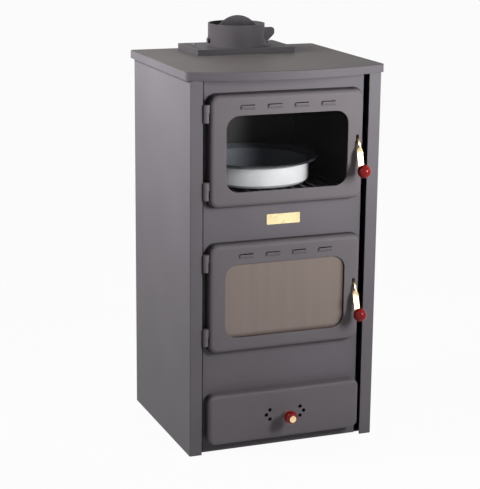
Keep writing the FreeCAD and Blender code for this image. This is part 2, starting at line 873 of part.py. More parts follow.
tin = new_body("baking_tin")
place(tin, s.tin_x, (rack_front + rack_back) / 2 + s.tin_shift_back, rack_level + s.rack_rod)
tin_rim = smaller(oven_half_width, (oven_back - panel_rear) / 2) - s.tin_side_gap
tin_base = tin_rim - s.tin_flare
tin_lip_low = s.tin_height - s.tin_lip_height
tin_wall_top = tin_lip_low - s.tin_flare_height
tin_profile = new_sketch(tin, "tin_profile", "XZ_Plane")
tin_points = [
    (ZERO, ZERO),
    (tin_base - s.tin_foot, ZERO),
    (tin_base, s.tin_foot),
    (tin_base, tin_wall_top),
    (tin_rim, tin_lip_low),
    (tin_rim + s.tin_lip, tin_lip_low),
    (tin_rim + s.tin_lip, s.tin_height),
    (tin_rim - s.tin_sheet, s.tin_height),
    (tin_base - s.tin_sheet, tin_wall_top + s.tin_sheet),
    (tin_base - s.tin_sheet, s.tin_foot + s.tin_sheet),
    (tin_base - s.tin_foot, s.tin_sheet),
    (ZERO, s.tin_sheet),
]
outline(tin_profile, tin_points)
tin_turn = tin.newObject("PartDesign::Revolution", "tin_turned")
tin_turn.Profile = tin_profile
tin_turn.ReferenceAxis = (tin_profile, ["V_Axis"])
keep(tin)

# Runners for the ash drawer, folded angles that stand on the base plate
runners = []
shelf_top = ash_low - s.runner_gap
guide_inside = half_ash + s.runner_gap
guide_outside = guide_inside + s.runner_sheet
runner_long = (panel_rear, ash_back + s.runner_past_ash)
for side in (-1, 1):
    label = "left" if side < 0 else "right"
    shelf_x = both(guide_inside - s.runner_shelf, guide_outside)[0 if side < 0 else 1]
    guide_x = both(guide_inside, guide_outside)[0 if side < 0 else 1]
    shelf = block(f"runner_shelf_{label}", shelf_x, runner_long, (shelf_top - s.runner_sheet, shelf_top))
    guide = block(f"runner_guide_{label}", guide_x, runner_long, (s.base_sheet, shelf_top + s.runner_guide))
    runners.append(fuse(f"runner_{label}", shelf, guide))
keep(group("drawer_runners", *runners))

# Flue: the base on the top plate, the collar that takes the pipe, and the screws
flue_front = flue_y - s.collar_radius - s.flue_base_edge
flue_rear = flue_y + s.collar_radius + s.flue_base_edge
flue_blank = block(
    "flue_blank", mirrored(s.flue_base_width / 2), (flue_front, flue_rear), (s.top_height, flue_floor)
)
flue_hole = rod(
    "flue_hole",
    (ZERO, flue_y, s.top_height - s.overrun),
    flue_hole_radius,
    s.flue_base_height + s.overrun * 2,
)
grooves = []
groove_left = -s.flue_base_width / 2 + s.groove_edge
for index in range(GROOVE_COUNT):
    middle = flue_y + s.groove_pitch * (index - (GROOVE_COUNT - 1) / 2)
    grooves.append(
        block(
            f"groove_{index}",
            (groove_left, groove_left + s.groove_length),
            (middle - s.groove_width / 2, middle + s.groove_width / 2),
            (flue_floor - s.groove_deep, flue_floor + s.overrun),
        )
    )
flue_screw_x = s.flue_base_width / 2 - s.flue_screw_edge
flue_screw_y = flue_y + s.flue_screw_y
keep(cut("flue_base", flue_blank, flue_hole, *grooves))
heads = []
for index, x in enumerate((-flue_screw_x, flue_screw_x)):
    start = (x, flue_screw_y, flue_floor)
    heads.append(rod(f"flue_screw_{index}", start, s.screw_head, s.screw_head_height))
keep(group("flue_screws", *heads))

foot = rod(
    "collar_foot",
    (ZERO, flue_y, flue_floor),
    s.collar_radius + s.collar_foot,
    s.collar_foot_height,
)
neck = rod("collar_neck", (ZERO, flue_y, flue_floor), s.collar_radius, s.collar_height)
bore = rod(
    "collar_bore",
    (ZERO, flue_y, flue_floor - s.overrun),
    collar_inside,
    s.collar_height + s.overrun * 2,
)
shaft_bore = rod(
    "collar_shaft_bore",
    (-collar_outside - s.overrun, flue_y, shaft_level),
    s.shaft_radius + s.shaft_fit,
    (collar_outside + s.overrun) * 2,
    "x",
)
keep(cut("flue_collar", fuse("collar_blank", foot, neck), bore, shaft_bore))

# Damper: a disc on a shaft through the collar, turned by a tab on the right
shaft_left = -collar_outside - s.shaft_end_gap
shaft_right = collar_outside + s.tab_start
shaft = rod(
    "damper_rod", (shaft_left, flue_y, shaft_level), s.shaft_radius, shaft_right - shaft_left, "x"
)
head = rod(
    "damper_head",
    (shaft_left - s.shaft_head_length, flue_y, shaft_level),
    s.shaft_head,
    s.shaft_head_length,
    "x",
)
keep(fuse("damper_shaft", shaft, head))
disc_front = flue_y - s.shaft_radius - s.damper_sheet
keep(rod("damper_disc", (ZERO, disc_front, shaft_level), flue_hole_radius - s.damper_gap, s.damper_sheet, "y"))

tab = new_body("damper_tab")
tab_outline = front_sketch(tab, "tab_outline", flue_y - s.tab_sheet / 2)
tab_low = shaft_level - s.tab_below
tab_high = tab_low + s.tab_height
tab_right = shaft_right + s.tab_width
outline(
    tab_outline,
    [
        (shaft_right, tab_low),
        (shaft_right + s.tab_foot, tab_low),
        (tab_right, tab_high - s.tab_height / 2),
        (tab_right, tab_high),
        (shaft_right, tab_high),
    ],
)
pad(tab, tab_outline, s.tab_sheet, reverse=True)


def tab_corner(edge):
    """The tab's outer corners: edges along Y, away from the collar."""
    box = edge.BoundBox
    along_y = box.XLength < TOUCH and box.ZLength < TOUCH
    return along_y and box.XMin > shaft_right.value + s.tab_foot.value + TOUCH


soften(tab, "tab_corners", s.tab_round, tab_corner)
keep(tab)


# Doors: each a pressed tray with a window, louvres, glass, seal, hinges and latch
def make_door_shell(name, low):
    """A tray with a rounded front, a turned-in rear lip, a window, louvres and a latch slot."""
    high = low + s.door_height
    middle = low + s.door_height / 2
    body = new_body(name + "_door")
    blank = front_sketch(body, name + "_door_outline", door_face)
    rounded(blank, mirrored(half_door), (low, high), s.door_corner)
    pad(body, blank, s.door_depth, reverse=True)
    soften(body, name + "_door_front", s.door_edge_round, edge_in_plane("Y", door_face))

    mouth = front_sketch(body, name + "_door_lip", door_rear)
    inset = s.door_lip
    rounded(
        mouth,
        mirrored(half_door - inset),
        (low + inset, high - inset),
        s.door_corner - inset,
    )
    pocket(body, mouth, s.door_depth - s.door_sheet, reverse=True)
    hollow = front_sketch(body, name + "_door_hollow", door_rear - s.door_sheet)
    inset = s.door_sheet
    rounded(
        hollow,
        mirrored(half_door - inset),
        (low + inset, high - inset),
        s.door_corner - inset,
    )
    pocket(body, hollow, s.door_depth - s.door_sheet * 2, reverse=True)
    inner_round = s.door_edge_round - s.door_sheet
    soften(body, name + "_door_inside", inner_round, edge_in_plane("Y", door_skin))

    window = front_sketch(body, name + "_window", door_face)
    rounded(
        window,
        mirrored(half_window),
        (low + s.window_end_rail - s.window_drop, high - s.window_end_rail - s.window_drop),
        s.window_corner,
    )
    pocket(body, window, s.door_sheet + s.overrun)

    slot = front_sketch(body, name + "_latch_slot", door_face)
    level = middle + s.latch_rise
    rectangle(
        slot,
        (latch_x - s.latch_slot_width / 2, latch_x + s.latch_slot_width / 2),
        (level - s.latch_slot_down, level + s.latch_slot_up),
    )
    pocket(body, slot, s.door_sheet + s.overrun)

    def window_edge(edge):
        inside = abs(edge.CenterOfMass.x) < half_window.value + TOUCH
        return edge_in_plane("Y", door_face)(edge) and inside and edge.BoundBox.XMax < half_window.value + TOUCH

    def at_front_window(edge):
        box = edge.BoundBox
        in_height = box.ZMin > low.value + s.door_edge_round.value + TOUCH
        in_height = in_height and box.ZMax < high.value - s.door_edge_round.value - TOUCH
        return window_edge(edge) and in_height

    soften(body, name + "_window_edge", s.window_round, at_front_window)
    for index in range(LOUVRE_COUNT):
        make_louvre(body, f"{name}_louvre_{index}", index, high - s.louvre_from_top)
    return keep(body)


def make_louvre(body, name, index, top):
    """A hood pressed out of the skin, open along its upper edge, with sloping ends."""
    middle = s.louvre_pitch * (index - (LOUVRE_COUNT - 1) / 2)
    foot_half = s.louvre_width / 2
    crest_half = foot_half - s.louvre_end_slope
    hood = body.newObject("PartDesign::AdditiveWedge", name + "_hood")
    wedge(
        hood,
        (door_face - s.louvre_rise, door_face + s.door_sheet / 2),
        (middle - crest_half, middle + crest_half),
        (top - s.louvre_crest, top),
        (middle - foot_half, middle + foot_half),
        (top - s.louvre_height, top),
    )
    hollow = body.newObject("PartDesign::SubtractiveWedge", name + "_hollow")
    inner_crest = crest_half - s.louvre_wall
    inner_foot = foot_half - s.louvre_wall
    wedge(
        hollow,
        (door_face - s.louvre_rise + s.louvre_wall, door_skin + s.overrun),
        (middle - inner_crest, middle + inner_crest),
        (top - s.louvre_crest + s.louvre_wall, top + s.louvre_slit),
        (middle - inner_foot, middle + inner_foot),
        (top - s.louvre_height + s.louvre_wall, top + s.louvre_slit),
    )


def wedge(feature, y, front_x, front_z, rear_x, rear_z):
    """Ties a wedge: a small rectangle at the front of its Y stretch and a large one at the rear."""
    limits = {
        "Ymin": y[0], "Ymax": y[1],
        "Xmin": front_x[0], "Xmax": front_x[1], "Zmin": front_z[0], "Zmax": front_z[1],
        "X2min": rear_x[0], "X2max": rear_x[1], "Z2min": rear_z[0], "Z2max": rear_z[1],
    }
    for prop, size in limits.items():
        setattr(feature, prop, size.value)
        bind(feature, prop, size)


def make_door_glass(name, low):
    """The pane, the flat gasket in front of it, and four clips with their screws behind it."""
    half_wide = half_window + s.glass_lap
    middle = low + s.door_height / 2 - s.window_drop
    half_high = s.door_height / 2 - s.window_end_rail + s.glass_lap
    ends = (middle - half_high, middle + half_high)
    corner = s.window_corner + s.glass_lap
    gasket = new_body(name + "_glass_gasket")
    gasket_outline = front_sketch(gasket, name + "_gasket_outline", door_skin)
    ring(gasket_outline, mirrored(half_wide), ends, corner, s.gasket_width)
    pad(gasket, gasket_outline, s.gasket_sheet, reverse=True)
    keep(gasket)
    glass_front = door_skin + s.gasket_sheet
    glass_rear = glass_front + s.glass_sheet
    glass = new_body(name + "_door_glass")
    glass_outline = front_sketch(glass, name + "_glass_outline", glass_front)
    rounded(glass_outline, mirrored(half_wide), ends, corner)
    pad(glass, glass_outline, s.glass_sheet, reverse=True)
    keep(glass)

    clips = []
    clip_screws = []
    clip_rear = glass_rear + s.clip_sheet
    for side in (-1, 1):
        for row in (-1, 1):
            label = f"{name}_clip_{'left' if side < 0 else 'right'}_{'low' if row < 0 else 'high'}"
            level = middle + s.clip_spread / 2 * row
            up = (level - s.clip_width / 2, level + s.clip_width / 2)
            foot_start = half_wide + s.clip_room
            foot_x = both(foot_start, foot_start + s.clip_foot)[0 if side < 0 else 1]
            tongue_x = both(half_wide - s.clip_lap, foot_start + s.clip_foot)[0 if side < 0 else 1]
            foot = block(label + "_foot", foot_x, (door_skin, glass_rear), up)
            tongue = block(label + "_tongue", tongue_x, (glass_rear, clip_rear), up)
            screw_at = (foot_start + s.clip_foot / 2) * side
            hole = rod(
                label + "_hole",
                (screw_at, door_skin - s.overrun, level),
                s.screw_shank + s.rivet_fit,
                clip_rear - door_skin + s.overrun * 2,
                "y",
            )
            clips.append(cut(label, fuse(label + "_blank", foot, tongue), hole))
            shank = rod(
                label + "_shank", (screw_at, door_skin, level), s.screw_shank, clip_rear - door_skin, "y"
            )
            head = rod(
                label + "_head", (screw_at, clip_rear, level), s.screw_head, s.screw_head_height, "y"
            )
            clip_screws.append(fuse(label + "_screw", shank, head))
    keep(group(name + "_glass_clips", *clips))
    keep(group(name + "_clip_screws", *clip_screws))


def make_door_seal(name, low):
    """The rope that closes the gap behind the door's rear lip and shows as a line round the door."""
    seal = new_body(name + "_door_seal")
    seal_outline = front_sketch(seal, name + "_seal_outline", door_rear)
    ends = (low - s.seal_show, low + s.door_height + s.seal_show)
    ring(seal_outline, mirrored(half_door + s.seal_show), ends, s.door_corner + s.seal_show, s.seal_width)
    pad(seal, seal_outline, panel_face - s.seal_gap - door_rear, reverse=True)
    keep(seal)


def make_hinges(name, low):
    """The door's two knuckles. Gives the fixed brackets and pins that go with them."""
    total = s.hinge_fixed_height + s.hinge_gap + s.hinge_door_height
    starts = {"low": low + s.hinge_inset, "high": low + s.door_height - s.hinge_inset - total}
    knuckles = []
    brackets = []
    pins = []
    for label, start in starts.items():
        here = f"{name}_hinge_{label}"
        fixed_top = start + s.hinge_fixed_height
        barrel = rod(here + "_barrel", (hinge_x, hinge_y, start), s.hinge_radius, s.hinge_fixed_height)
        leg_left = hinge_x - s.hinge_leg_side
        leg = block(
            here + "_leg",
            (leg_left, leg_left + s.hinge_leg),
            (hinge_y, panel_face),
            (start, fixed_top),
        )
        seat = rod(
            here + "_seat",
            (hinge_x, hinge_y, start + s.hinge_floor),
            s.hinge_pin + s.hinge_pin_fit,
            s.hinge_fixed_height,
        )
        brackets.append(cut(here + "_bracket", fuse(here + "_bracket_blank", barrel, leg), seat))
        pin_length = s.hinge_fixed_height - s.hinge_floor + s.hinge_pin_up
        pins.append(rod(here + "_pin", (hinge_x, hinge_y, start + s.hinge_floor), s.hinge_pin, pin_length))
        knuckle_low = fixed_top + s.hinge_gap
        knuckle_up = (knuckle_low, knuckle_low + s.hinge_door_height)
        knuckle = rod(here + "_knuckle", (hinge_x, hinge_y, knuckle_low), s.hinge_radius, s.hinge_door_height)
        leaf_front = hinge_y + s.hinge_leaf_start
        leaf = block(
            here + "_leaf", (hinge_x, -half_door), (leaf_front, leaf_front + s.hinge_leaf), knuckle_up
        )
        run = rod(
            here + "_run",
            (hinge_x, hinge_y, knuckle_low - s.overrun),
            s.hinge_pin + s.hinge_run_fit,
            s.hinge_pin_up + s.overrun,
        )
        knuckles.append(cut(here + "_moving", fuse(here + "_moving_blank", knuckle, leaf), run))
    keep(group(name + "_hinge_knuckles", *knuckles))
    return brackets, pins


def make_latch(name, low):
    """The bracket and pin on the door, the twisted lever and its ball. Gives the fixed keeper."""
    level = low + s.door_height / 2 + s.latch_rise
    half_lever = s.lever_sheet / 2
    ear_inside = half_lever + s.latch_ear_gap
    ear_outside = ear_inside + s.latch_ear
    ear_y = (door_skin, door_skin + s.latch_ear_deep)
    ear_z = (level - s.latch_ear_half, level + s.latch_ear_half)
    ears = []
    for index, across in enumerate(both(ear_inside, ear_outside)):
        x = (latch_x + across[0], latch_x + across[1])
        hole = rod(
            f"{name}_ear_hole_{index}",
            (x[0] - s.overrun, latch_y, level),
            s.latch_pin + s.hinge_pin_fit,
            s.latch_ear + s.overrun * 2,
            "x",
        )
        ears.append(cut(f"{name}_ear_{index}", block(f"{name}_ear_blank_{index}", x, ear_y, ear_z), hole))
    pivot = rod(
        name + "_latch_pin", (latch_x - ear_outside, latch_y, level), s.latch_pin, ear_outside * 2, "x"
    )
    keep(group(name + "_latch_bracket", *ears, pivot))

    across = (latch_x - half_lever, latch_x + half_lever)
    arm_front = door_face - s.lever_stub
    half_height = s.lever_height / 2
    arm = block(name + "_lever_arm", across, (arm_front, latch_y), (level - half_height, level + half_height))
    boss = rod(name + "_lever_boss", (across[0], latch_y, level), s.lever_boss, s.lever_sheet, "x")
    half_nose = s.lever_nose_height / 2
    nose = block(
        name + "_lever_nose",
        across,
        (latch_y, latch_y + s.lever_nose),
        (level - half_nose, level + half_nose),
    )
    hole = rod(
        name + "_lever_hole",
        (across[0] - s.overrun, latch_y, level),
        s.latch_pin + s.latch_fit,
        s.lever_sheet + s.overrun * 2,
        "x",
    )
    strip = doc.addObject("Part::Feature", name + "_lever_strip")
    strip.Shape = twisted_strip(arm_front.value, level.value)
    lean = math.radians(LEVER_LEAN)
    stud_along = s.lever_length - s.ball_from_end
    stud_y = arm_front - stud_along * math.sin(lean)
    stud_z = level - stud_along * math.cos(lean)

    def before_strip(distance):
        """The point on the stud's axis at a distance in front of the strip's middle."""
        return (latch_x, stud_y - distance * math.cos(lean), stud_z + distance * math.sin(lean))

    away = FreeCAD.Rotation(FreeCAD.Vector(1, 0, 0), 90 - LEVER_LEAN)
    stud_length = half_lever + s.lever_stud_length
    stud = rod(name + "_lever_stud", before_strip(ZERO), s.lever_stud, stud_length, away)
    keep(cut(name + "_latch_lever", fuse(name + "_lever_blank", arm, boss, nose, strip, stud), hole))

    towards_lever = FreeCAD.Rotation(FreeCAD.Vector(1, 0, 0), -90 - LEVER_LEAN)
    centre = before_strip(half_lever + s.ball_seat)
    knob = ball(name + "_ball", centre, s.ball_radius, s.ball_seat, towards_lever)
    socket = rod(
        name + "_ball_socket",
        before_strip(half_lever),
        s.lever_stud + s.ball_fit,
        s.lever_stud_length + s.overrun,
        away,
    )
    keep(cut(name + "_latch_knob", knob, socket))

    ledge_low = level + half_nose + s.keeper_gap
    half_keeper = s.latch_inset - s.door_lip - s.keeper_side_gap
    return block(
        name + "_keeper",
        (latch_x - half_keeper, latch_x + half_keeper),
        (panel_face - s.keeper_reach, panel_face),
        (ledge_low, ledge_low + s.keeper_sheet),
    )


def twisted_strip(arm_front, level):
    """A brass strip that leaves the slot edge on, leans down and turns a quarter round on itself."""
    lean = math.radians(LEVER_LEAN)
    forward = FreeCAD.Vector(0, -math.sin(lean), -math.cos(lean))
    across = FreeCAD.Vector(1, 0, 0)
    start = FreeCAD.Vector(latch_x.value, arm_front, level)
    sections = []
    for share, angle in zip(TWIST_SHARES, TWIST_ANGLES):
        turn = math.radians(angle)
        upward = forward.cross(across) if share > 0 else FreeCAD.Vector(0, 0, 1)
        wide = upward * math.cos(turn) + across * math.sin(turn)
        thin = across * math.cos(turn) - upward * math.sin(turn)
        grown = math.sin(turn) ** 2
        half_wide = (s.lever_height.value * (1 - grown) + s.lever_width.value * grown) / 2
        half_thin = s.lever_sheet.value / 2
        middle = start + forward * (s.lever_length.value * share)
        corners = []
        for wide_sign, thin_sign in ((1, 1), (1, -1), (-1, -1), (-1, 1)):
            corners.append(middle + wide * (half_wide * wide_sign) + thin * (half_thin * thin_sign))
        sections.append(Part.makePolygon(corners + corners[:1]))
    return Part.makeLoft(sections, True, True)


hinge_brackets = []
hinge_pins = []
keepers = []
for door_name, door_low in DOORS.items():
    make_door_shell(door_name, door_low)
    make_door_glass(door_name, door_low)
    make_door_seal(door_name, door_low)
    new_brackets, new_pins = make_hinges(door_name, door_low)
    hinge_brackets += new_brackets
    hinge_pins += new_pins
    keepers.append(make_latch(door_name, door_low))
keep(group("hinge_brackets", *hinge_brackets))
keep(group("hinge_pins", *hinge_pins))
keep(group("latch_keepers", *keepers))

# Ash drawer: a pressed front and a box behind it, riveted through two tabs
air_level = s.drawer_low + s.drawer_height / 2
disc_radius = s.drawer_height / 2 - s.drawer_sheet - s.disc_edge_gap
air_hole_out = disc_radius - s.air_hole_edge_gap
air_hole_in = air_hole_out - s.air_hole_step
air_places = []
for side in (-1, 1):
    air_places.append((air_hole_out * side, air_level))
    air_places.append((air_hole_in * side, air_level + s.air_hole_rise))
    air_places.append((air_hole_in * side, air_level - s.air_hole_rise))


def make_drawer_front():
    """A tray with a rounded front, open at the rear, with its air holes and the stem hole."""
    body = new_body("drawer_front")
    half = half_drawer
    depth = drawer_rear - drawer_face
    blank = front_sketch(body, "drawer_outline", drawer_face)
    rounded(blank, mirrored(half), (s.drawer_low, drawer_high), s.drawer_corner)
    pad(body, blank, depth, reverse=True)
    soften(body, "drawer_front_edge", s.drawer_edge_round, edge_in_plane("Y", drawer_face))
    hollow = front_sketch(body, "drawer_hollow", drawer_rear)
    inset = s.drawer_sheet
    rounded(
        hollow,
        mirrored(half - inset),
        (s.drawer_low + inset, drawer_high - inset),
        s.drawer_corner - inset,
    )
    pocket(body, hollow, depth - s.drawer_sheet, reverse=True)
    inner_round = s.drawer_edge_round - s.drawer_sheet
    soften(body, "drawer_inside", inner_round, edge_in_plane("Y", drawer_skin))
    holes = front_sketch(body, "drawer_holes", drawer_face)
    for x, z in air_places:
        circle(holes, x, z, s.air_hole)
    circle(holes, ZERO, air_level, s.stem_radius + s.stem_fit)
    pocket(body, holes, s.drawer_sheet + s.overrun)
    return keep(body)


make_drawer_front()

ash_front = panel_rear
ash_outer = block(
    "ash_blank", mirrored(half_ash), (drawer_skin, ash_back), (ash_low, ash_high)
)
ash_inside_x = mirrored(half_ash - s.ash_sheet)
ash_floor = ash_low + s.ash_sheet
ash_inside = block(
    "ash_inside",
    ash_inside_x,
    (ash_front + s.ash_sheet, ash_back - s.ash_sheet),
    (ash_floor, ash_high + s.overrun),
)
ash_mouth = block(
    "ash_front_gap",
    ash_inside_x,
    (drawer_skin + s.ash_sheet, ash_front),
    (ash_low - s.overrun, ash_high + s.overrun),
)
ash_above = block(
    "ash_front_low",
    ash_inside_x,
    (ash_front - s.overrun, ash_front + s.ash_sheet + s.overrun),
    (ash_low + s.ash_front_height, ash_high + s.overrun),
)
ash_face = block(
    "ash_face_gap",
    mirrored(half_ash - s.ash_sheet - s.ash_tab),
    (drawer_skin - s.overrun, drawer_skin + s.ash_sheet + s.overrun),
    (ash_low - s.overrun, ash_high + s.overrun),
)
tab_middle = (ash_low + ash_high) / 2
half_tab = (ash_high - ash_low) / 2 - s.ash_tab_end_gap
tab_trims = []
for index, span in enumerate(
    (
        (ash_low - s.overrun, tab_middle - half_tab),
        (tab_middle + half_tab, ash_high + s.overrun),
    )
):
    tab_trims.append(
        block(
            f"ash_tab_trim_{index}",
            ash_inside_x,
            (drawer_skin - s.overrun, drawer_skin + s.ash_sheet + s.overrun),
            span,
        )
    )
rivets = []
rivet_holes = []
rivet_x = half_ash - s.ash_sheet - s.ash_tab / 2
for side in (-1, 1):
    for row in (-1, 1):
        label = f"rivet_{'left' if side < 0 else 'right'}_{'low' if row < 0 else 'high'}"
        level = tab_middle + (half_tab - s.rivet_edge_gap) * row
        x = rivet_x * side
        rivet_holes.append(
            rod(
                label + "_hole",
                (x, drawer_skin - s.overrun, level),
                s.rivet_shank + s.rivet_fit,
                s.ash_sheet + s.overrun * 2,
                "y",
            )
        )
        shank = rod(label + "_shank", (x, drawer_skin, level), s.rivet_shank, s.ash_sheet, "y")
        seat = (x, drawer_skin + s.ash_sheet, level)
        head = rod(label + "_head", seat, s.rivet_head, s.rivet_head_height, "y")
        rivets.append(fuse(label, shank, head))
keep(cut("ash_box", ash_outer, ash_inside, ash_mouth, ash_above, ash_face, *tab_trims, *rivet_holes))
keep(group("drawer_rivets", *rivets))

# Air regulator: a holed disc behind the drawer front, turned by a ball knob on a stem
disc_y = drawer_skin + s.disc_gap
disc_blank = rod("disc_blank", (ZERO, disc_y, air_level), disc_radius, s.disc_sheet, "y")
disc_holes = []
for index, (x, z) in enumerate(air_places):
    start = (x, disc_y - s.overrun, z)
    disc_holes.append(rod(f"disc_hole_{index}", start, s.air_hole, s.disc_sheet + s.overrun * 2, "y"))
disc_bore = rod(
    "disc_bore",
    (ZERO, disc_y - s.overrun, air_level),
    s.stem_radius + s.stem_fit,
    s.disc_sheet + s.overrun * 2,
    "y",
)
keep(cut("regulator_disc", disc_blank, disc_bore, *disc_holes))
knob_y = drawer_face - s.knob_reach
stem_front = knob_y + s.ball_radius - s.knob_bore
nut_y = disc_y + s.disc_sheet
stem = rod(
    "regulator_rod",
    (ZERO, stem_front, air_level),
    s.stem_radius,
    nut_y + s.nut_height - stem_front,
    "y",
)
nut = rod("regulator_nut", (ZERO, nut_y, air_level), s.nut_radius, s.nut_height, "y")
keep(fuse("regulator_stem", stem, nut))
to_front = FreeCAD.Rotation(FreeCAD.Vector(1, 0, 0), 90)
knob_ball = ball("regulator_ball", (ZERO, knob_y, air_level), s.ball_radius, s.knob_face, to_front)
knob_bore = rod(
    "regulator_ball_bore",
    (ZERO, stem_front, air_level),
    s.stem_radius + s.stem_fit,
    s.ball_radius,
    "y",
)
face_y = knob_y - s.knob_face
knob_recess = rod(
    "regulator_recess",
    (ZERO, face_y - s.overrun, air_level),
    s.insert_radius,
    s.insert_deep + s.overrun,
    "y",
)
keep(cut("regulator_knob", knob_ball, knob_bore, knob_recess))
keep(rod("regulator_insert", (ZERO, face_y, air_level), s.insert_radius, s.insert_deep, "y"))

doc.recompute()

# Nothing is written unless every object is sound
for item in doc.Objects:
    if "Invalid" in item.State or "Error" in item.State:
        raise RuntimeError(f"{item.Name} failed: {item.State}")
for piece in nodes:
    if piece.Shape.isNull() or not piece.Shape.isValid() or not piece.Shape.Solids:
        raise RuntimeError(f"{piece.Label} has no sound solid")

os.makedirs("parts", exist_ok=True)
for piece in nodes:
    piece.Shape.exportStep(os.path.join("parts", piece.Label + ".step"))
print(len(nodes), "pieces written")
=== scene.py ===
import json
import math

import bmesh
import bpy
import numpy as np
from mathutils import Matrix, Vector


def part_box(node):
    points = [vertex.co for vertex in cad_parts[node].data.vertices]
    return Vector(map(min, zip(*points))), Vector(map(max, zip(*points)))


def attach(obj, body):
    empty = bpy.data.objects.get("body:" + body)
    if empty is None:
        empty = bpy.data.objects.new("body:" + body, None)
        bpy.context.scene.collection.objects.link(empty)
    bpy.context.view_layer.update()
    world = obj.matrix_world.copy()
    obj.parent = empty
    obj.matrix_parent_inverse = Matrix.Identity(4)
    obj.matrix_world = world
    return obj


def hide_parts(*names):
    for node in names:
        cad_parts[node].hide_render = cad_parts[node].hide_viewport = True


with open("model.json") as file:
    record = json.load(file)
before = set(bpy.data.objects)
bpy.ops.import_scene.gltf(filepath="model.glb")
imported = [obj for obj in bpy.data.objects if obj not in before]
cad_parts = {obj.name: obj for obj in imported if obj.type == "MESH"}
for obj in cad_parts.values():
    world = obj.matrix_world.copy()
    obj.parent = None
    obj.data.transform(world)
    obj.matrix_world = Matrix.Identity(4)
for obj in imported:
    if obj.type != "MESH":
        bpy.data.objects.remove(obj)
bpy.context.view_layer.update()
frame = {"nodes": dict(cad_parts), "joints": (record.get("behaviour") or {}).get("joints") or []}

bl_info = {
    "name": "Wood stove with oven",
    "version": (1, 0, 0),
    "blender": (4, 5, 0),
    "location": "View3D > Sidebar > Stove",
    "description": "Dresses the stove's frame with its finishes and adds its formed pieces",
    "category": "Object",
}

MM = 0.001


def linear(text):
    """An sRGB hex colour as linear red, green, blue and alpha."""
    parts = np.array([int(text[i:i + 2], 16) for i in (0, 2, 4)]) / 255
    low = parts / 12.92
    high = ((parts + 0.055) / 1.055) ** 2.4
    return (*np.where(parts <= 0.04045, low, high), 1.0)


# Properties that a user would change


def colour(name, description, text):
    """A colour property with its default from a hex value."""
    return bpy.props.FloatVectorProperty(
        name=name, description=description, default=linear(text), subtype="COLOR", size=4, min=0, max=1
    )


def length(name, description, default):
    """A length property in metres."""
    return bpy.props.FloatProperty(
        name=name, description=description, default=default, subtype="DISTANCE", unit="LENGTH", min=0
    )


class StoveFinishes(bpy.types.PropertyGroup):
    """Colours of the stove's finishes."""

    casing: colour("Casing paint", "Stove paint on the casing and the front", "625E63")
    doors: colour("Door paint", "Stove paint on the doors and the drawer", "635E62")
    top: colour("Top paint", "Stove paint on the top plate's upper face", "504C4B")
    cast: colour("Cast iron", "Flue base, collar, damper and grate", "413E41")
    brass: colour("Brass", "Levers, stem and plate", "F8E3B2")
    insert: colour("Knob insert", "Pale brass cap in the regulator knob", "F8D9AC")
    ball: colour("Ball", "Moulded red balls", "780A0B")
    steel: colour("Steel", "Bare sheet and fixings", "77777A")
    oven: colour("Oven lining", "Black enamel on the oven's plates", "1B1A1B")
    brick: colour("Firebrick", "Fired clay round the fire", "A8957E")
    rope: colour("Rope", "Woven glass rope on the doors", "121112")
    tin_outside: colour("Tin outside", "Pale enamel on the baking tin", "F6F8FA")
    tin_inside: colour("Tin inside", "Grey lining of the baking tin", "848892")
    # Painted reflection: the fire glass's colour stands for the room reflected in it over the bricks
    # behind
    reflection_over_bricks: colour("Fire glass haze", "Smoke film on the fire door's glass", "756862")
    # Painted shade: a brown band along the fire glass's right and lower edges, where the window's edges
    # are in shade
    edge_shade: colour("Fire glass edge", "Brown film at the glass's right and lower edges", "3E2C22")


class StoveSizes(bpy.types.PropertyGroup):
    """Sizes of the formed pieces."""

    lever_sheet: length("Strip thickness", "Thickness of the lever's strip", 4.0 * MM)
    lever_height: length("Strip height", "Height of the lever where it leaves the slot", 7.0 * MM)
    lever_width: length("Strip width", "Width of the lever near its ball", 14.0 * MM)
    lever_nose: length("Nose height", "Height of the lever's nose", 6.0 * MM)
    lever_bend: length("Bend radius", "Radius of the bend outside the slot", 9.0 * MM)
    lever_boss: length("Boss radius", "Radius of the eye round the pivot", 5.8 * MM)
    lever_eye: length("Eye radius", "Radius of the pivot hole", 2.55 * MM)
    rope_pitch: length("Rope pitch", "Spacing of the strands along the rope", 6.0 * MM)
    rope_width: length("Rope width", "Width of the flat rope", 10.0 * MM)
    rope_corner: length("Rope corner", "Radius of the rope's middle line at a corner", 18.0 * MM)
    tin_rim: length("Tin rim", "Height of the tin's flared rim", 10.5 * MM)
    orange_peel: length("Paint grain", "Size of the grain in the sprayed paint", 1.6 * MM)
    cast_grain: length("Cast grain", "Size of the sand grain on cast iron", 2.0 * MM)
    brick_grain: length("Brick grain", "Size of the grog in the fired clay", 3.0 * MM)


# Sizes of the patterns in the finishes
PAINT_CLOUD = 180 * MM
CAST_CLOUD = 40 * MM
BUFFING_LINE = 0.6 * MM
TARNISH_SPOT = 14 * MM
RESIN_CLOUD = 9 * MM
ROLLING_LINE = 1.0 * MM
HEAT_STAIN = 60 * MM
PINHOLE = 2.5 * MM
SOOT_CLOUD = 70 * MM
GLASS_FIBRE = 0.8 * MM
ENAMEL_SPECK = 5 * MM
GLASS_FILM = 50 * MM
# Faint upright streaks of painted reflection on the fire glass
REFLECTION_STREAK = 16 * MM
FLOOR_CLOUD = 300 * MM
# The pits in the fired clay lie about this many grains apart
PIT_GRAINS = 4

# Most of a noise pattern lies between these values
NOISE_LOW = 0.3
NOISE_HIGH = 0.7

# The top plate's upper face starts this far below its crown, and its colour changes within the step
TOP_FACE_DEPTH = 1.0 * MM
TOP_FACE_STEP = 0.3 * MM

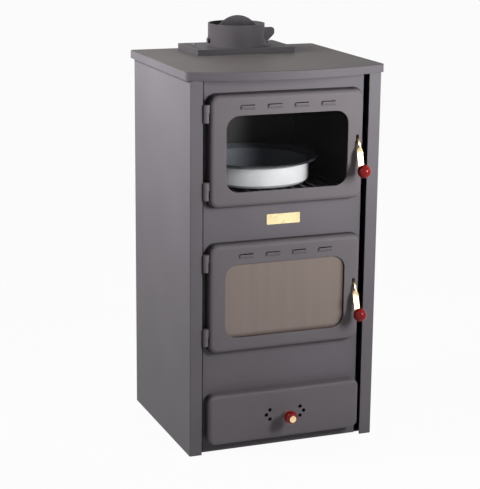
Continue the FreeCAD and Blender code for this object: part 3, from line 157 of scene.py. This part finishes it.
# Distances from the fire glass's right and lower edges at which the painted brown shade starts and is
# full
RIGHT_EDGE_SHADE = (21 * MM, 9 * MM)
LOWER_EDGE_SHADE = (20 * MM, 9 * MM)

# A face of the tin counts as outside as its outward look, times its distance from the middle, passes
# from the first value to the second. The rim's colour starts within the step.
TIN_OUTWARD = (20 * MM, 40 * MM)
TIN_RIM_STEP = 0.2 * MM


# Nodes


def feed(tree, socket, value):
    """Links a socket to another one, or sets it to a plain value."""
    if isinstance(value, bpy.types.NodeSocket):
        tree.links.new(value, socket)
    else:
        socket.default_value = value


def add_node(tree, kind, inputs=None, **settings):
    """Adds one node, sets its settings, and sets or links its inputs."""
    node = tree.nodes.new(kind)
    for name, value in settings.items():
        setattr(node, name, value)
    for name, value in (inputs or {}).items():
        feed(tree, node.inputs[name], value)
    return node


def combine(tree, operation, first, second):
    """A number worked out from two."""
    return add_node(tree, "ShaderNodeMath", {0: first, 1: second}, operation=operation).outputs["Value"]


def combine_vectors(tree, operation, first, second):
    """A vector worked out from two, or a number where they are multiplied to one."""
    node = add_node(tree, "ShaderNodeVectorMath", {0: first, 1: second}, operation=operation)
    return node.outputs["Value" if operation == "DOT_PRODUCT" else "Vector"]


def remap(tree, value, low, high, to_low, to_high):
    """A value moved from one range to another, kept within it."""
    return add_node(
        tree,
        "ShaderNodeMapRange",
        {"Value": value, "From Min": low, "From Max": high, "To Min": to_low, "To Max": to_high},
    ).outputs["Result"]


def spread(tree, noise, low, high):
    """Noise spread over a range of its own."""
    return remap(tree, noise, NOISE_LOW, NOISE_HIGH, low, high)


def speckle(tree, place, size, detail=3.0):
    """Noise whose features are about a given size."""
    return add_node(
        tree, "ShaderNodeTexNoise", {"Vector": place, "Scale": 1 / size, "Detail": detail}
    ).outputs["Fac"]


def stretched(tree, place, scale):
    """A place scaled along each axis, so that a pattern on it runs long where the scale is small."""
    return add_node(tree, "ShaderNodeMapping", {"Vector": place, "Scale": scale}).outputs["Vector"]


def shade(tone, factor):
    """A colour made lighter or darker."""
    return (*(min(1.0, part * factor) for part in tone[:3]), 1.0)


def blend_colours(tree, factor, first, second):
    """A mix of two colours by a factor."""
    mix = add_node(tree, "ShaderNodeMix", {"Factor": factor}, data_type="RGBA")
    for socket, value in zip([s for s in mix.inputs if s.type == "RGBA"], (first, second)):
        feed(tree, socket, value)
    return next(s for s in mix.outputs if s.type == "RGBA")


def blend_shaders(tree, factor, first, second):
    """A mix of two shaders by a factor."""
    return add_node(tree, "ShaderNodeMixShader", {0: factor, 1: first, 2: second}).outputs["Shader"]


def raise_bump(tree, height, distance, strength):
    """A bump of a given depth."""
    return add_node(
        tree, "ShaderNodeBump", {"Height": height, "Distance": distance, "Strength": strength}
    ).outputs["Normal"]


def new_material(name):
    """A material with an empty tree, its output and object coordinates."""
    material = bpy.data.materials.new(name)
    material.use_nodes = True
    tree = material.node_tree
    tree.nodes.clear()
    output = add_node(tree, "ShaderNodeOutputMaterial")
    coordinates = add_node(tree, "ShaderNodeTexCoord")
    return material, tree, output, coordinates.outputs["Object"]


def set_surface(tree, output, inputs):
    """Gives a material one surface with these inputs."""
    surface = add_node(tree, "ShaderNodeBsdfPrincipled", inputs)
    tree.links.new(surface.outputs["BSDF"], output.inputs["Surface"])


# Materials


def sprayed(tree, tone, cloud, fine):
    """The colour of sprayed paint: broad clouds and fine lighter dots."""
    mottled = blend_colours(tree, spread(tree, cloud, 0, 1), shade(tone, 0.92), shade(tone, 1.06))
    dotted = blend_colours(tree, remap(tree, fine, 0.35, 0.65, 0, 1), mottled, shade(tone, 1.12))
    return blend_colours(tree, 0.35, mottled, dotted)


def stove_paint(name, tone, grain, gloss, upper=None, level=0.0):
    """Sprayed heat-proof stove paint: satin, a little cloudy, with a fine orange peel. What lies
    above a level can have a second colour."""
    material, tree, output, place = new_material(name)
    cloud = speckle(tree, place, PAINT_CLOUD)
    fine = speckle(tree, place, grain, 2.0)
    paint = sprayed(tree, tone, cloud, fine)
    if upper is not None:
        height = add_node(tree, "ShaderNodeSeparateXYZ", {"Vector": place}).outputs["Z"]
        above = remap(tree, height, level - TOP_FACE_STEP, level, 0, 1)
        paint = blend_colours(tree, above, paint, sprayed(tree, upper, cloud, fine))
    set_surface(tree, output, {
        "Base Color": paint,
        "Roughness": spread(tree, fine, 0.44, 0.56),
        "Specular IOR Level": gloss,
        "Normal": raise_bump(tree, fine, distance=0.05 * MM, strength=0.5),
    })
    return material


def cast_iron(name, tone, grain):
    """Sand-cast iron under thin paint: matt, with a pebbled skin."""
    material, tree, output, place = new_material(name)
    sand = speckle(tree, place, grain, 4.0)
    broad = speckle(tree, place, CAST_CLOUD)
    set_surface(tree, output, {
        "Base Color": blend_colours(tree, broad, shade(tone, 0.82), shade(tone, 1.15)),
        "Roughness": spread(tree, sand, 0.5, 0.66),
        "Specular IOR Level": 0.14,
        "Normal": raise_bump(tree, sand, distance=0.15 * MM, strength=0.6),
    })
    return material


def polished_brass(name, tone):
    """Rolled brass, buffed: bright, with faint lines of the buffing and a little tarnish."""
    material, tree, output, place = new_material(name)
    buffed = speckle(tree, stretched(tree, place, (1, 1, 0.06)), BUFFING_LINE, 2.0)
    tarnish = remap(tree, speckle(tree, place, TARNISH_SPOT), 0.35, 0.7, 0, 1)
    set_surface(tree, output, {
        "Base Color": blend_colours(tree, tarnish, tone, shade(tone, 0.8)),
        "Metallic": 1.0,
        "Roughness": spread(tree, buffed, 0.2, 0.34),
        "Normal": raise_bump(tree, buffed, distance=0.01 * MM, strength=0.4),
    })
    return material


def moulded_ball(name, tone):
    """Moulded phenolic: deep red, glossy, with faint clouds in the resin."""
    material, tree, output, place = new_material(name)
    cloud = speckle(tree, place, RESIN_CLOUD)
    set_surface(tree, output, {
        "Base Color": blend_colours(tree, cloud, shade(tone, 0.72), shade(tone, 1.2)),
        "Roughness": spread(tree, cloud, 0.12, 0.18),
        "Specular IOR Level": 0.2,
    })
    return material


def bare_steel(name, tone):
    """Cold-rolled sheet dulled by heat: grey metal with broad stains and fine rolling lines."""
    material, tree, output, place = new_material(name)
    rolled = speckle(tree, stretched(tree, place, (1, 0.05, 1)), ROLLING_LINE, 2.0)
    stain = speckle(tree, place, HEAT_STAIN, 4.0)
    set_surface(tree, output, {
        "Base Color": blend_colours(tree, stain, shade(tone, 0.7), shade(tone, 1.1)),
        "Metallic": 0.85,
        "Roughness": spread(tree, stain, 0.34, 0.55),
        "Normal": raise_bump(tree, rolled, distance=0.02 * MM, strength=0.4),
    })
    return material


def black_enamel(name, tone):
    """Fused enamel on the oven's plates: near black, glossy, with tiny pinholes."""
    material, tree, output, place = new_material(name)
    pin = speckle(tree, place, PINHOLE)
    set_surface(tree, output, {
        "Base Color": blend_colours(tree, pin, shade(tone, 0.8), shade(tone, 1.3)),
        "Roughness": spread(tree, pin, 0.25, 0.4),
        "Normal": raise_bump(tree, pin, distance=0.05 * MM, strength=0.4),
    })
    return material


def fired_clay(name, tone, grain):
    """Fireclay brick: dry and rough, with grog, pits and sooty clouds."""
    material, tree, output, place = new_material(name)
    grog = speckle(tree, place, grain, 5.0)
    soot = remap(tree, speckle(tree, place, SOOT_CLOUD), 0.45, 0.75, 0, 0.6)
    pits = add_node(
        tree, "ShaderNodeTexVoronoi", {"Vector": place, "Scale": 1 / (PIT_GRAINS * grain)}
    ).outputs["Distance"]
    sandy = blend_colours(tree, grog, shade(tone, 0.78), shade(tone, 1.15))
    relief = blend_colours(tree, 0.5, grog, pits)
    set_surface(tree, output, {
        "Base Color": blend_colours(tree, soot, sandy, shade(tone, 0.35)),
        "Roughness": spread(tree, grog, 0.85, 0.95),
        "Normal": raise_bump(tree, relief, distance=0.4 * MM, strength=0.7),
    })
    return material


def woven_rope(name, tone):
    """Woven glass rope: soft and matt, with fine fibres in lighter and darker grey."""
    material, tree, output, place = new_material(name)
    fibre = speckle(tree, place, GLASS_FIBRE, 2.0)
    set_surface(tree, output, {
        "Base Color": blend_colours(tree, fibre, shade(tone, 0.7), shade(tone, 1.4)),
        "Roughness": spread(tree, fibre, 0.85, 0.97),
        "Normal": raise_bump(tree, fibre, distance=0.2 * MM, strength=0.6),
    })
    return material


def tin_enamel(name, outside, inside, middle, rim):
    """Enamelled sheet: pale on the wall's outside, near black under the flared rim, grey inside."""
    material, tree, output, place = new_material(name)
    around = combine_vectors(tree, "SUBTRACT", place, (middle[0], middle[1], 0))
    flat = combine_vectors(tree, "MULTIPLY", around, (1, 1, 0))
    facing = add_node(tree, "ShaderNodeTexCoord").outputs["Normal"]
    outward = remap(tree, combine_vectors(tree, "DOT_PRODUCT", flat, facing), *TIN_OUTWARD, 0, 1)
    height = add_node(tree, "ShaderNodeSeparateXYZ", {"Vector": place}).outputs["Z"]
    below = remap(tree, height, rim + TIN_RIM_STEP, rim - TIN_RIM_STEP, 0, 1)
    pale = combine(tree, "MULTIPLY", outward, below)
    speck = speckle(tree, place, ENAMEL_SPECK)
    pale_tone = blend_colours(tree, speck, shade(outside, 0.95), outside)
    lining = blend_colours(tree, speck, shade(inside, 0.8), shade(inside, 1.25))
    dark_tone = blend_colours(tree, outward, lining, shade(inside, 0.1))
    set_surface(tree, output, {
        "Base Color": blend_colours(tree, pale, dark_tone, pale_tone),
        "Roughness": spread(tree, speck, 0.18, 0.28),
    })
    return material


def clear_glass(name, tint):
    """Heat-proof glass over a dark oven: clear, a little smoked, with a glossy face."""
    material, tree, output, place = new_material(name)
    film = speckle(tree, place, GLASS_FILM)
    set_surface(tree, output, {
        "Base Color": blend_colours(tree, film, shade(tint, 0.8), shade(tint, 1.2)),
        "Roughness": spread(tree, film, 0.03, 0.06),
        "Specular IOR Level": 0.12,
        "Alpha": spread(tree, film, 0.05, 0.09),
    })
    return material


def glass_with_painted_light(name, reflection_over_bricks, edge, low, high):
    """Heat-proof glass drawn opaque, its colour a painted reflection of the room over the bricks behind,
    with faint upright lines of painted reflection in it and a band of painted brown shade at the right
    and lower edges."""
    material, tree, output, place = new_material(name)
    streak = speckle(tree, stretched(tree, place, (1, 1, 0.04)), REFLECTION_STREAK, 2.0)
    apart = add_node(tree, "ShaderNodeSeparateXYZ", {"Vector": place})
    # Painted brown shade along the glass's right and lower edges
    right = remap(tree, apart.outputs["X"], high[0] - RIGHT_EDGE_SHADE[0], high[0] - RIGHT_EDGE_SHADE[1], 0, 1)
    lower = remap(tree, apart.outputs["Z"], low[2] + LOWER_EDGE_SHADE[0], low[2] + LOWER_EDGE_SHADE[1], 0, 1)
    brown = combine(tree, "MAXIMUM", right, lower)
    # Faint upright lines of painted reflection in the glass's colour
    runs = remap(tree, streak, 0.35, 0.65, 0, 1)
    film = blend_colours(tree, runs, shade(reflection_over_bricks, 0.97), shade(reflection_over_bricks, 1.03))
    set_surface(tree, output, {
        "Base Color": blend_colours(tree, brown, film, edge),
        "Roughness": spread(tree, streak, 0.1, 0.18),
    })
    return material


def pale_floor(name):
    """Matt pale sheet that shows almost white to the camera and keeps a little of the shadow."""
    material, tree, output, place = new_material(name)
    grain = speckle(tree, place, FLOOR_CLOUD)
    pale = blend_colours(tree, grain, linear("C2C2C0"), linear("C8C8C6"))
    surface = add_node(tree, "ShaderNodeBsdfPrincipled", {"Base Color": pale, "Roughness": 0.9})
    glow = add_node(tree, "ShaderNodeEmission", {"Color": (1, 1, 1, 1), "Strength": 1.0})
    seen = combine(tree, "MULTIPLY", shown_rays(tree), FLOOR_GLOW)
    both = blend_shaders(tree, seen, surface.outputs["BSDF"], glow.outputs["Emission"])
    tree.links.new(both, output.inputs["Surface"])
    return material


def dress(material, *names):
    """Gives pieces of the frame one material."""
    for name in names:
        data = frame["nodes"][name].data
        data.materials.clear()
        data.materials.append(material)


# Surfaces

# The lever's straight length beyond its bend's corner, how far it bends down, the corner's distance
# from the pivot and the nose's length behind it
LEVER_REACH = 76.0 * MM
LEVER_TURN = math.radians(73.5)
LEVER_STUB = 16.0 * MM
LEVER_NOSE = 8.5 * MM
# The share of the reach in which the strip turns on itself, and where the nose has its full height
LEVER_TWIST = 0.3
NOSE_END = 2.0 * MM
# A smaller power makes the strip's section squarer
SECTION_POWER = 0.28
BOSS_EDGE = 0.4 * MM

# Steps along the rope for each pitch, strands round it and the share by which they swell it
ROPE_STEPS = 5
ROPE_STRANDS = 3
ROPE_SWELL = 0.1


def grid_faces(rows, columns):
    """Quads of a grid that closes round its columns."""
    row = np.arange(rows - 1)[:, None] * columns
    column = np.arange(columns)[None, :]
    following = (column + 1) % columns
    quads = np.stack(
        [row + column, row + following, row + columns + following, row + columns + column], axis=-1
    )
    return quads.reshape(-1, 4)


def new_piece(name, points, faces, material, body, slot, *replaced):
    """A smooth mesh piece that rides on a body."""
    mesh = bpy.data.meshes.new(name)
    mesh.from_pydata(points.reshape(-1, 3).tolist(), [], faces.tolist())
    editable = bmesh.new()
    editable.from_mesh(mesh)
    bmesh.ops.remove_doubles(editable, verts=editable.verts, dist=1e-3 * MM)
    bmesh.ops.recalc_face_normals(editable, faces=editable.faces)
    editable.to_mesh(mesh)
    editable.free()
    mesh.shade_smooth()
    mesh.materials.append(material)
    piece = bpy.data.objects.new(name, mesh)
    bpy.context.scene.collection.objects.link(piece)
    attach(piece, body)
    if replaced:
        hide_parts(*replaced)


def smooth_step(values, low, high):
    """A smooth rise from 0 to 1 between two values."""
    share = np.clip((values - low) / (high - low), 0, 1)
    return share * share * (3 - 2 * share)


def lever_strip(pivot, sizes):
    """A rounded rectangle carried along a line that runs forward from the nose, bends down
    round a small radius and goes straight on, while the rectangle turns a quarter round it."""
    radius = sizes.lever_bend
    tangent = radius * math.tan(LEVER_TURN / 2)
    bend_start = LEVER_STUB - tangent
    bend_length = radius * LEVER_TURN
    bend_end = bend_start + bend_length
    total = bend_end + LEVER_REACH - tangent
    nose_rings, strip_rings, columns = 12, 150, 32

    behind = np.linspace(-LEVER_NOSE, 0, nose_rings)
    along = np.concatenate([behind, np.linspace(0, total, strip_rings)[1:]])
    angle = np.clip((along - bend_start) / bend_length, 0, 1) * LEVER_TURN
    steps = np.diff(along, prepend=along[0])
    middle_angle = (angle + np.roll(angle, 1)) / 2
    middle_angle[0] = angle[0]
    forward = np.cumsum(steps * np.cos(middle_angle))
    down = np.cumsum(steps * np.sin(middle_angle))
    centre = np.stack(
        [np.full_like(along, pivot[0]), pivot[1] + LEVER_NOSE - forward, pivot[2] - down], axis=-1
    )

    turn = smooth_step(along, bend_end, bend_end + LEVER_REACH * LEVER_TWIST) * math.pi / 2
    nose = smooth_step(along, -LEVER_NOSE, NOSE_END)
    wide = sizes.lever_nose + (sizes.lever_height - sizes.lever_nose) * nose
    wide = wide + (sizes.lever_width - sizes.lever_height) * np.sin(turn) ** 2
    upward = np.stack([np.zeros_like(angle), -np.sin(angle), np.cos(angle)], axis=-1)
    across = np.array([1.0, 0.0, 0.0])[None, :]
    wide_axis = upward * np.cos(turn)[:, None] + across * np.sin(turn)[:, None]
    thin_axis = across * np.cos(turn)[:, None] - upward * np.sin(turn)[:, None]

    around = np.linspace(0, 2 * math.pi, columns, endpoint=False)
    section_wide = np.sign(np.cos(around)) * np.abs(np.cos(around)) ** SECTION_POWER / 2
    section_thin = np.sign(np.sin(around)) * np.abs(np.sin(around)) ** SECTION_POWER / 2
    rings = (
        centre[:, None, :]
        + wide_axis[:, None, :] * (wide[:, None] * section_wide[None, :])[..., None]
        + thin_axis[:, None, :] * (sizes.lever_sheet * section_thin)[None, :, None]
    )
    first = np.repeat(centre[:1, None, :], columns, axis=1)
    last = np.repeat(centre[-1:, None, :], columns, axis=1)
    rings = np.concatenate([first, rings, last])
    return rings, grid_faces(len(rings), columns)


def lever_boss(pivot, sizes):
    """A flat eye round the pivot: a closed rectangle, its outer corners cut off, turned once round
    the X axis."""
    half = sizes.lever_sheet / 2
    hole = sizes.lever_eye
    outside = sizes.lever_boss
    profile = np.array(
        [
            [-half, hole],
            [-half, outside - BOSS_EDGE],
            [-half + BOSS_EDGE, outside],
            [half - BOSS_EDGE, outside],
            [half, outside - BOSS_EDGE],
            [half, hole],
            [-half, hole],
        ]
    )
    columns = 48
    around = np.linspace(0, 2 * math.pi, columns, endpoint=False)
    rings = np.empty((len(profile), columns, 3))
    rings[..., 0] = pivot[0] + profile[:, 0][:, None]
    rings[..., 1] = pivot[1] + profile[:, 1][:, None] * np.cos(around)
    rings[..., 2] = pivot[2] + profile[:, 1][:, None] * np.sin(around)
    return rings, grid_faces(len(profile), columns)


def rope_ring(low, high, width, corner, pitch):
    """An oval section carried round a rectangle with round corners, swollen where its strands cross."""
    depth = high[1] - low[1]
    middle = (np.array(low) + np.array(high)) / 2
    straight_x = (high[0] - low[0] - width) / 2 - corner
    straight_z = (high[2] - low[2] - width) / 2 - corner
    quarter = corner * math.pi / 2

    # Eight legs in turn: up the right side, a corner, along the top, and so on
    legs = np.array([2 * straight_z, quarter, 2 * straight_x, quarter] * 2)
    ends = np.concatenate([[0], np.cumsum(legs)])
    count = int(ends[-1] / (pitch / ROPE_STEPS))
    along = np.linspace(0, ends[-1], count, endpoint=False)
    leg = np.clip(np.searchsorted(ends, along, side="right") - 1, 0, len(legs) - 1)
    share = along - ends[leg]
    is_arc = leg % 2 == 1
    heading = (leg + 1) // 2 * (math.pi / 2) + np.where(is_arc, share / corner - math.pi / 2, 0)
    normal = np.stack([np.cos(heading), np.zeros_like(heading), np.sin(heading)], axis=-1)
    tangent = np.stack([-np.sin(heading), np.cos(heading)], axis=-1)
    corners = np.array(
        [[1, -1], [1, 1], [1, 1], [-1, 1], [-1, 1], [-1, -1], [-1, -1], [1, -1]], dtype=float
    )
    base = corners[leg] * np.array([straight_x, straight_z])
    base = base + np.where(is_arc[:, None], 0, tangent * share[:, None])
    centre = np.stack([base[:, 0], np.zeros(count), base[:, 1]], axis=-1) + normal * corner + middle

    columns = 20
    around = np.linspace(0, 2 * math.pi, columns, endpoint=False)
    phase = along[:, None] * 2 * math.pi / pitch
    strands = np.maximum(np.sin(phase + ROPE_STRANDS * around), np.sin(phase - ROPE_STRANDS * around))
    swell = 1 - ROPE_SWELL + ROPE_SWELL * strands
    side = np.cos(around)[None, :] * swell * width / 2
    deep = np.sin(around)[None, :] * swell * depth / 2
    rings = centre[:, None, :] + normal[:, None, :] * side[..., None]
    rings[..., 1] += deep

    first = np.arange(columns)
    last = first + (count - 1) * columns
    closing = np.stack([last, np.roll(last, -1), np.roll(first, -1), first], axis=-1)
    return rings, np.concatenate([grid_faces(count, columns), closing])


# Stage

CAMERA_PLACE = (-1.2741, -3.1977, 1.2890)
CAMERA_YAW = math.radians(21.2557)
CAMERA_PITCH = math.radians(14.2091)
CAMERA_ROLL = math.radians(0.5636)
CAMERA_LENS = 113.59
CAMERA_SENSOR = 36.0

# Each lamp's name, place, the point it looks at, its width and height in metres and its watts
LAMPS = (
    ("Key lamp", (0.61, -1.28, 1.0), (0.1, -0.22, 1.45), 0.3, 0.8, 27),
    ("Right lamp", (1.4, -0.95, 1.25), (0.2, -0.2, 1.9), 0.6, 0.6, 5),
    ("Side lamp", (-1.15, 0.1, 1.45), (-0.22, 0.1, 1.55), 0.5, 0.5, 44),
)

# The surround's light all round and at its strongest, which is behind the stove to the right
FAINT_LIGHT = 0.07
REAR_LIGHT = 1.9
REAR_WAY = (0.55, 0.83, 0)

# The floor's reach in metres, and the share of it that shows as plain white
FLOOR_REACH = 12.0
FLOOR_GLOW = 0.95


def turned_to(place, right, up, back):
    """The matrix that puts an object at a place, with its three axes along these."""
    rows = [[*axis, 0] for axis in (right, up, back)]
    return Matrix.Translation(place) @ Matrix([*rows, [0, 0, 0, 1]]).transposed()


def camera_axes():
    """Right, up and backward axes of the camera from its turn, tilt and roll."""
    forward = np.array(
        [
            math.sin(CAMERA_YAW) * math.cos(CAMERA_PITCH),
            math.cos(CAMERA_YAW) * math.cos(CAMERA_PITCH),
            -math.sin(CAMERA_PITCH),
        ]
    )
    right = np.array([math.cos(CAMERA_YAW), -math.sin(CAMERA_YAW), 0.0])
    up = np.cross(right, forward)
    rolled_right = math.cos(CAMERA_ROLL) * right + math.sin(CAMERA_ROLL) * up
    rolled_up = -math.sin(CAMERA_ROLL) * right + math.cos(CAMERA_ROLL) * up
    return rolled_right, rolled_up, -forward


def add_lamp(name, place, target, width, height, power):
    """A soft upright panel of light that looks at a point."""
    data = bpy.data.lights.new(name, "AREA")
    data.shape = "RECTANGLE"
    data.size = width
    data.size_y = height
    data.energy = power
    lamp = bpy.data.objects.new(name, data)
    back = np.array(place, dtype=float) - np.array(target, dtype=float)
    back /= np.linalg.norm(back)
    side = np.cross([0, 0, 1], back)
    side /= np.linalg.norm(side)
    lamp.matrix_world = turned_to(place, side, np.cross(back, side), back)
    bpy.context.scene.collection.objects.link(lamp)


def shown_rays(tree):
    """One for rays from the camera, off glossy surfaces or through glass, otherwise zero."""
    ray = add_node(tree, "ShaderNodeLightPath")
    mirrored = combine(tree, "MAXIMUM", ray.outputs["Is Camera Ray"], ray.outputs["Is Glossy Ray"])
    return combine(tree, "MAXIMUM", mirrored, ray.outputs["Is Transmission Ray"])


# Operators


class STOVE_OT_casing(bpy.types.Operator):
    """Paints the casing, the doors and the drawer front"""

    bl_idname = "stove.casing"
    bl_label = "Paint casing and doors"

    def execute(self, context):
        finishes = context.scene.stove_finishes
        grain = context.scene.stove_sizes.orange_peel
        casing = stove_paint("Stove paint on casing", finishes.casing, grain, gloss=0.1)
        dress(casing, "side_panel_left", "side_panel_right", "front_panel", "back_panel", "base_plate")
        doors = stove_paint("Stove paint on doors", finishes.doors, grain, gloss=0.1)
        dress(doors, "oven_door", "fire_door", "drawer_front")
        dress(doors, "hinge_brackets", "oven_hinge_knuckles", "fire_hinge_knuckles")
        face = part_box("top_plate")[1][2] - TOP_FACE_DEPTH
        top = stove_paint(
            "Stove paint on top plate",
            finishes.casing,
            grain,
            gloss=0.03,
            upper=finishes.top,
            level=face,
        )
        dress(top, "top_plate")
        return {"FINISHED"}


class STOVE_OT_flue(bpy.types.Operator):
    """Gives the flue, the damper and the grate their cast skin"""

    bl_idname = "stove.flue"
    bl_label = "Cast pieces"

    def execute(self, context):
        finishes = context.scene.stove_finishes
        cast = cast_iron("Cast iron", finishes.cast, context.scene.stove_sizes.cast_grain)
        dress(cast, "flue_base", "flue_collar", "damper_disc", "damper_shaft", "damper_tab")
        dress(cast, "fire_grate", "grate_plate")
        return {"FINISHED"}


class STOVE_OT_steel(bpy.types.Operator):
    """Gives the fixings and the ash box their bare steel and the oven its enamel"""

    bl_idname = "stove.steel"
    bl_label = "Steel pieces"

    def execute(self, context):
        finishes = context.scene.stove_finishes
        steel = bare_steel("Cold-rolled steel", finishes.steel)
        dress(steel, "fire_walls", "fire_back_wall", "ash_box", "drawer_rivets", "drawer_runners")
        dress(steel, "hinge_pins", "latch_keepers", "regulator_disc")
        dress(steel, "casing_screws", "flue_screws")
        for door in ("oven", "fire"):
            dress(steel, f"{door}_glass_clips", f"{door}_clip_screws", f"{door}_latch_bracket")
        enamel = black_enamel("Black enamel", finishes.oven)
        dress(enamel, "oven_floor", "oven_roof", "oven_walls", "oven_back_wall")
        dress(enamel, "oven_runners", "oven_rack")
        return {"FINISHED"}


class STOVE_OT_glass(bpy.types.Operator):
    """Gives the two doors their glass"""

    bl_idname = "stove.glass"
    bl_label = "Glass"

    def execute(self, context):
        finishes = context.scene.stove_finishes
        dress(clear_glass("Clear heat-proof glass", finishes.oven), "oven_door_glass")
        low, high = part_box("fire_door_glass")
        painted_glass = glass_with_painted_light("Smoke-hazed heat-proof glass", finishes.reflection_over_bricks, finishes.edge_shade, low, high)
        dress(painted_glass, "fire_door_glass")
        return {"FINISHED"}


class STOVE_OT_fire(bpy.types.Operator):
    """Gives the firebricks their fired clay"""

    bl_idname = "stove.fire"
    bl_label = "Firebricks"

    def execute(self, context):
        finishes = context.scene.stove_finishes
        clay = fired_clay("Fired clay", finishes.brick, context.scene.stove_sizes.brick_grain)
        dress(clay, "firebricks_side", "firebricks_back")
        return {"FINISHED"}


class STOVE_OT_seals(bpy.types.Operator):
    """Lays woven rope round the back of each door"""

    bl_idname = "stove.seals"
    bl_label = "Rope seals"

    def execute(self, context):
        finishes = context.scene.stove_finishes
        sizes = context.scene.stove_sizes
        rope = woven_rope("Woven glass rope", finishes.rope)
        for door in ("oven", "fire"):
            dress(rope, f"{door}_door_seal", f"{door}_glass_gasket")
            low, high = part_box(f"{door}_door_seal")
            points, faces = rope_ring(low, high, sizes.rope_width, sizes.rope_corner, sizes.rope_pitch)
            new_piece(f"{door}_rope", points, faces, rope, f"{door}_door", "rope", f"{door}_door_seal")
        return {"FINISHED"}


class STOVE_OT_tin(bpy.types.Operator):
    """Enamels the baking tin"""

    bl_idname = "stove.tin"
    bl_label = "Baking tin"

    def execute(self, context):
        finishes = context.scene.stove_finishes
        low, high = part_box("baking_tin")
        middle = (np.array(low) + np.array(high)) / 2
        rim = high[2] - context.scene.stove_sizes.tin_rim
        enamel = tin_enamel("Enamelled tin", finishes.tin_outside, finishes.tin_inside, middle, rim)
        dress(enamel, "baking_tin")
        return {"FINISHED"}


class STOVE_OT_handles(bpy.types.Operator):
    """Forms the twisted levers and gives the brass and the balls their finish"""

    bl_idname = "stove.handles"
    bl_label = "Handles"

    def execute(self, context):
        finishes = context.scene.stove_finishes
        sizes = context.scene.stove_sizes
        brass = polished_brass("Buffed brass", finishes.brass)
        dress(brass, "brass_plate", "regulator_stem")
        dress(polished_brass("Pale buffed brass", finishes.insert), "regulator_insert")
        red = moulded_ball("Moulded phenolic", finishes.ball)
        dress(red, "oven_latch_knob", "fire_latch_knob", "regulator_knob")
        pivots = {joint["child"]: joint["pos_m"] for joint in frame["joints"] if "pos_m" in joint}
        for door in ("oven", "fire"):
            body = f"{door}_latch"
            dress(brass, f"{door}_latch_lever")
            strip, strip_faces = lever_strip(pivots[body], sizes)
            boss, boss_faces = lever_boss(pivots[body], sizes)
            points = np.concatenate([strip.reshape(-1, 3), boss.reshape(-1, 3)])
            faces = np.concatenate([strip_faces, boss_faces + strip.shape[0] * strip.shape[1]])
            new_piece(f"{door}_lever", points, faces, brass, body, "brass", f"{door}_latch_lever")
        return {"FINISHED"}


class STOVE_OT_stage(bpy.types.Operator):
    """Sets the floor, the light and the camera"""

    bl_idname = "stove.stage"
    bl_label = "Stage"

    def execute(self, context):
        scene = context.scene
        scene.view_settings.view_transform = "Standard"
        self.lay_floor(scene)
        self.light_world(scene)
        for lamp in LAMPS:
            add_lamp(*lamp)
        self.set_camera(scene)
        return {"FINISHED"}

    def lay_floor(self, scene):
        """A wide pale sheet under the stove."""
        reach = FLOOR_REACH
        mesh = bpy.data.meshes.new("floor")
        corners = [(-reach, -reach, 0), (reach, -reach, 0), (reach, reach, 0), (-reach, reach, 0)]
        mesh.from_pydata(corners, [], [(0, 1, 2, 3)])
        mesh.materials.append(pale_floor("Pale matt floor"))
        floor = bpy.data.objects.new("floor", mesh)
        scene.collection.objects.link(floor)

    def light_world(self, scene):
        """A plain white surround, mostly dimmer as light than as background, stronger from behind."""
        world = bpy.data.worlds.new("Studio")
        scene.world = world
        world.use_nodes = True
        tree = world.node_tree
        tree.nodes.clear()
        output = add_node(tree, "ShaderNodeOutputWorld")
        way = add_node(tree, "ShaderNodeTexCoord").outputs["Generated"]
        rear = remap(tree, combine_vectors(tree, "DOT_PRODUCT", way, REAR_WAY), 0, 1, 0, 1)
        lobe = combine(tree, "POWER", rear, 2.0)
        strength = remap(tree, lobe, 0, 1, FAINT_LIGHT, REAR_LIGHT)
        light, seen = (
            add_node(
                tree, "ShaderNodeBackground", {"Color": (1, 1, 1, 1), "Strength": level}
            ).outputs["Background"]
            for level in (strength, 1.0)
        )
        both = blend_shaders(tree, shown_rays(tree), light, seen)
        tree.links.new(both, output.inputs["Surface"])

    def set_camera(self, scene):
        """The camera at the photograph's place and turn."""
        data = bpy.data.cameras.new("Camera")
        data.sensor_width = CAMERA_SENSOR
        data.lens = CAMERA_LENS
        camera = bpy.data.objects.new("Camera", data)
        camera.matrix_world = turned_to(CAMERA_PLACE, *camera_axes())
        scene.collection.objects.link(camera)
        scene.camera = camera


OPERATORS = (
    STOVE_OT_casing,
    STOVE_OT_flue,
    STOVE_OT_steel,
    STOVE_OT_glass,
    STOVE_OT_fire,
    STOVE_OT_seals,
    STOVE_OT_tin,
    STOVE_OT_handles,
    STOVE_OT_stage,
)


class STOVE_PT_panel(bpy.types.Panel):
    """Lists the stove's steps"""

    bl_idname = "STOVE_PT_panel"
    bl_label = "Stove"
    bl_space_type = "VIEW_3D"
    bl_region_type = "UI"
    bl_category = "Stove"

    def draw(self, context):
        for operator in OPERATORS:
            self.layout.operator(operator.bl_idname)


CLASSES = (StoveFinishes, StoveSizes, *OPERATORS, STOVE_PT_panel)


def register():
    for item in CLASSES:
        bpy.utils.register_class(item)
    bpy.types.Scene.stove_finishes = bpy.props.PointerProperty(type=StoveFinishes)
    bpy.types.Scene.stove_sizes = bpy.props.PointerProperty(type=StoveSizes)


def unregister():
    del bpy.types.Scene.stove_finishes
    del bpy.types.Scene.stove_sizes
    for item in reversed(CLASSES):
        bpy.utils.unregister_class(item)


def main():
    """Registers the add-on and runs its steps."""
    register()
    for operator in OPERATORS:
        group, step = operator.bl_idname.split(".")
        getattr(getattr(bpy.ops, group), step)()


if __name__ == "__main__":
    main()
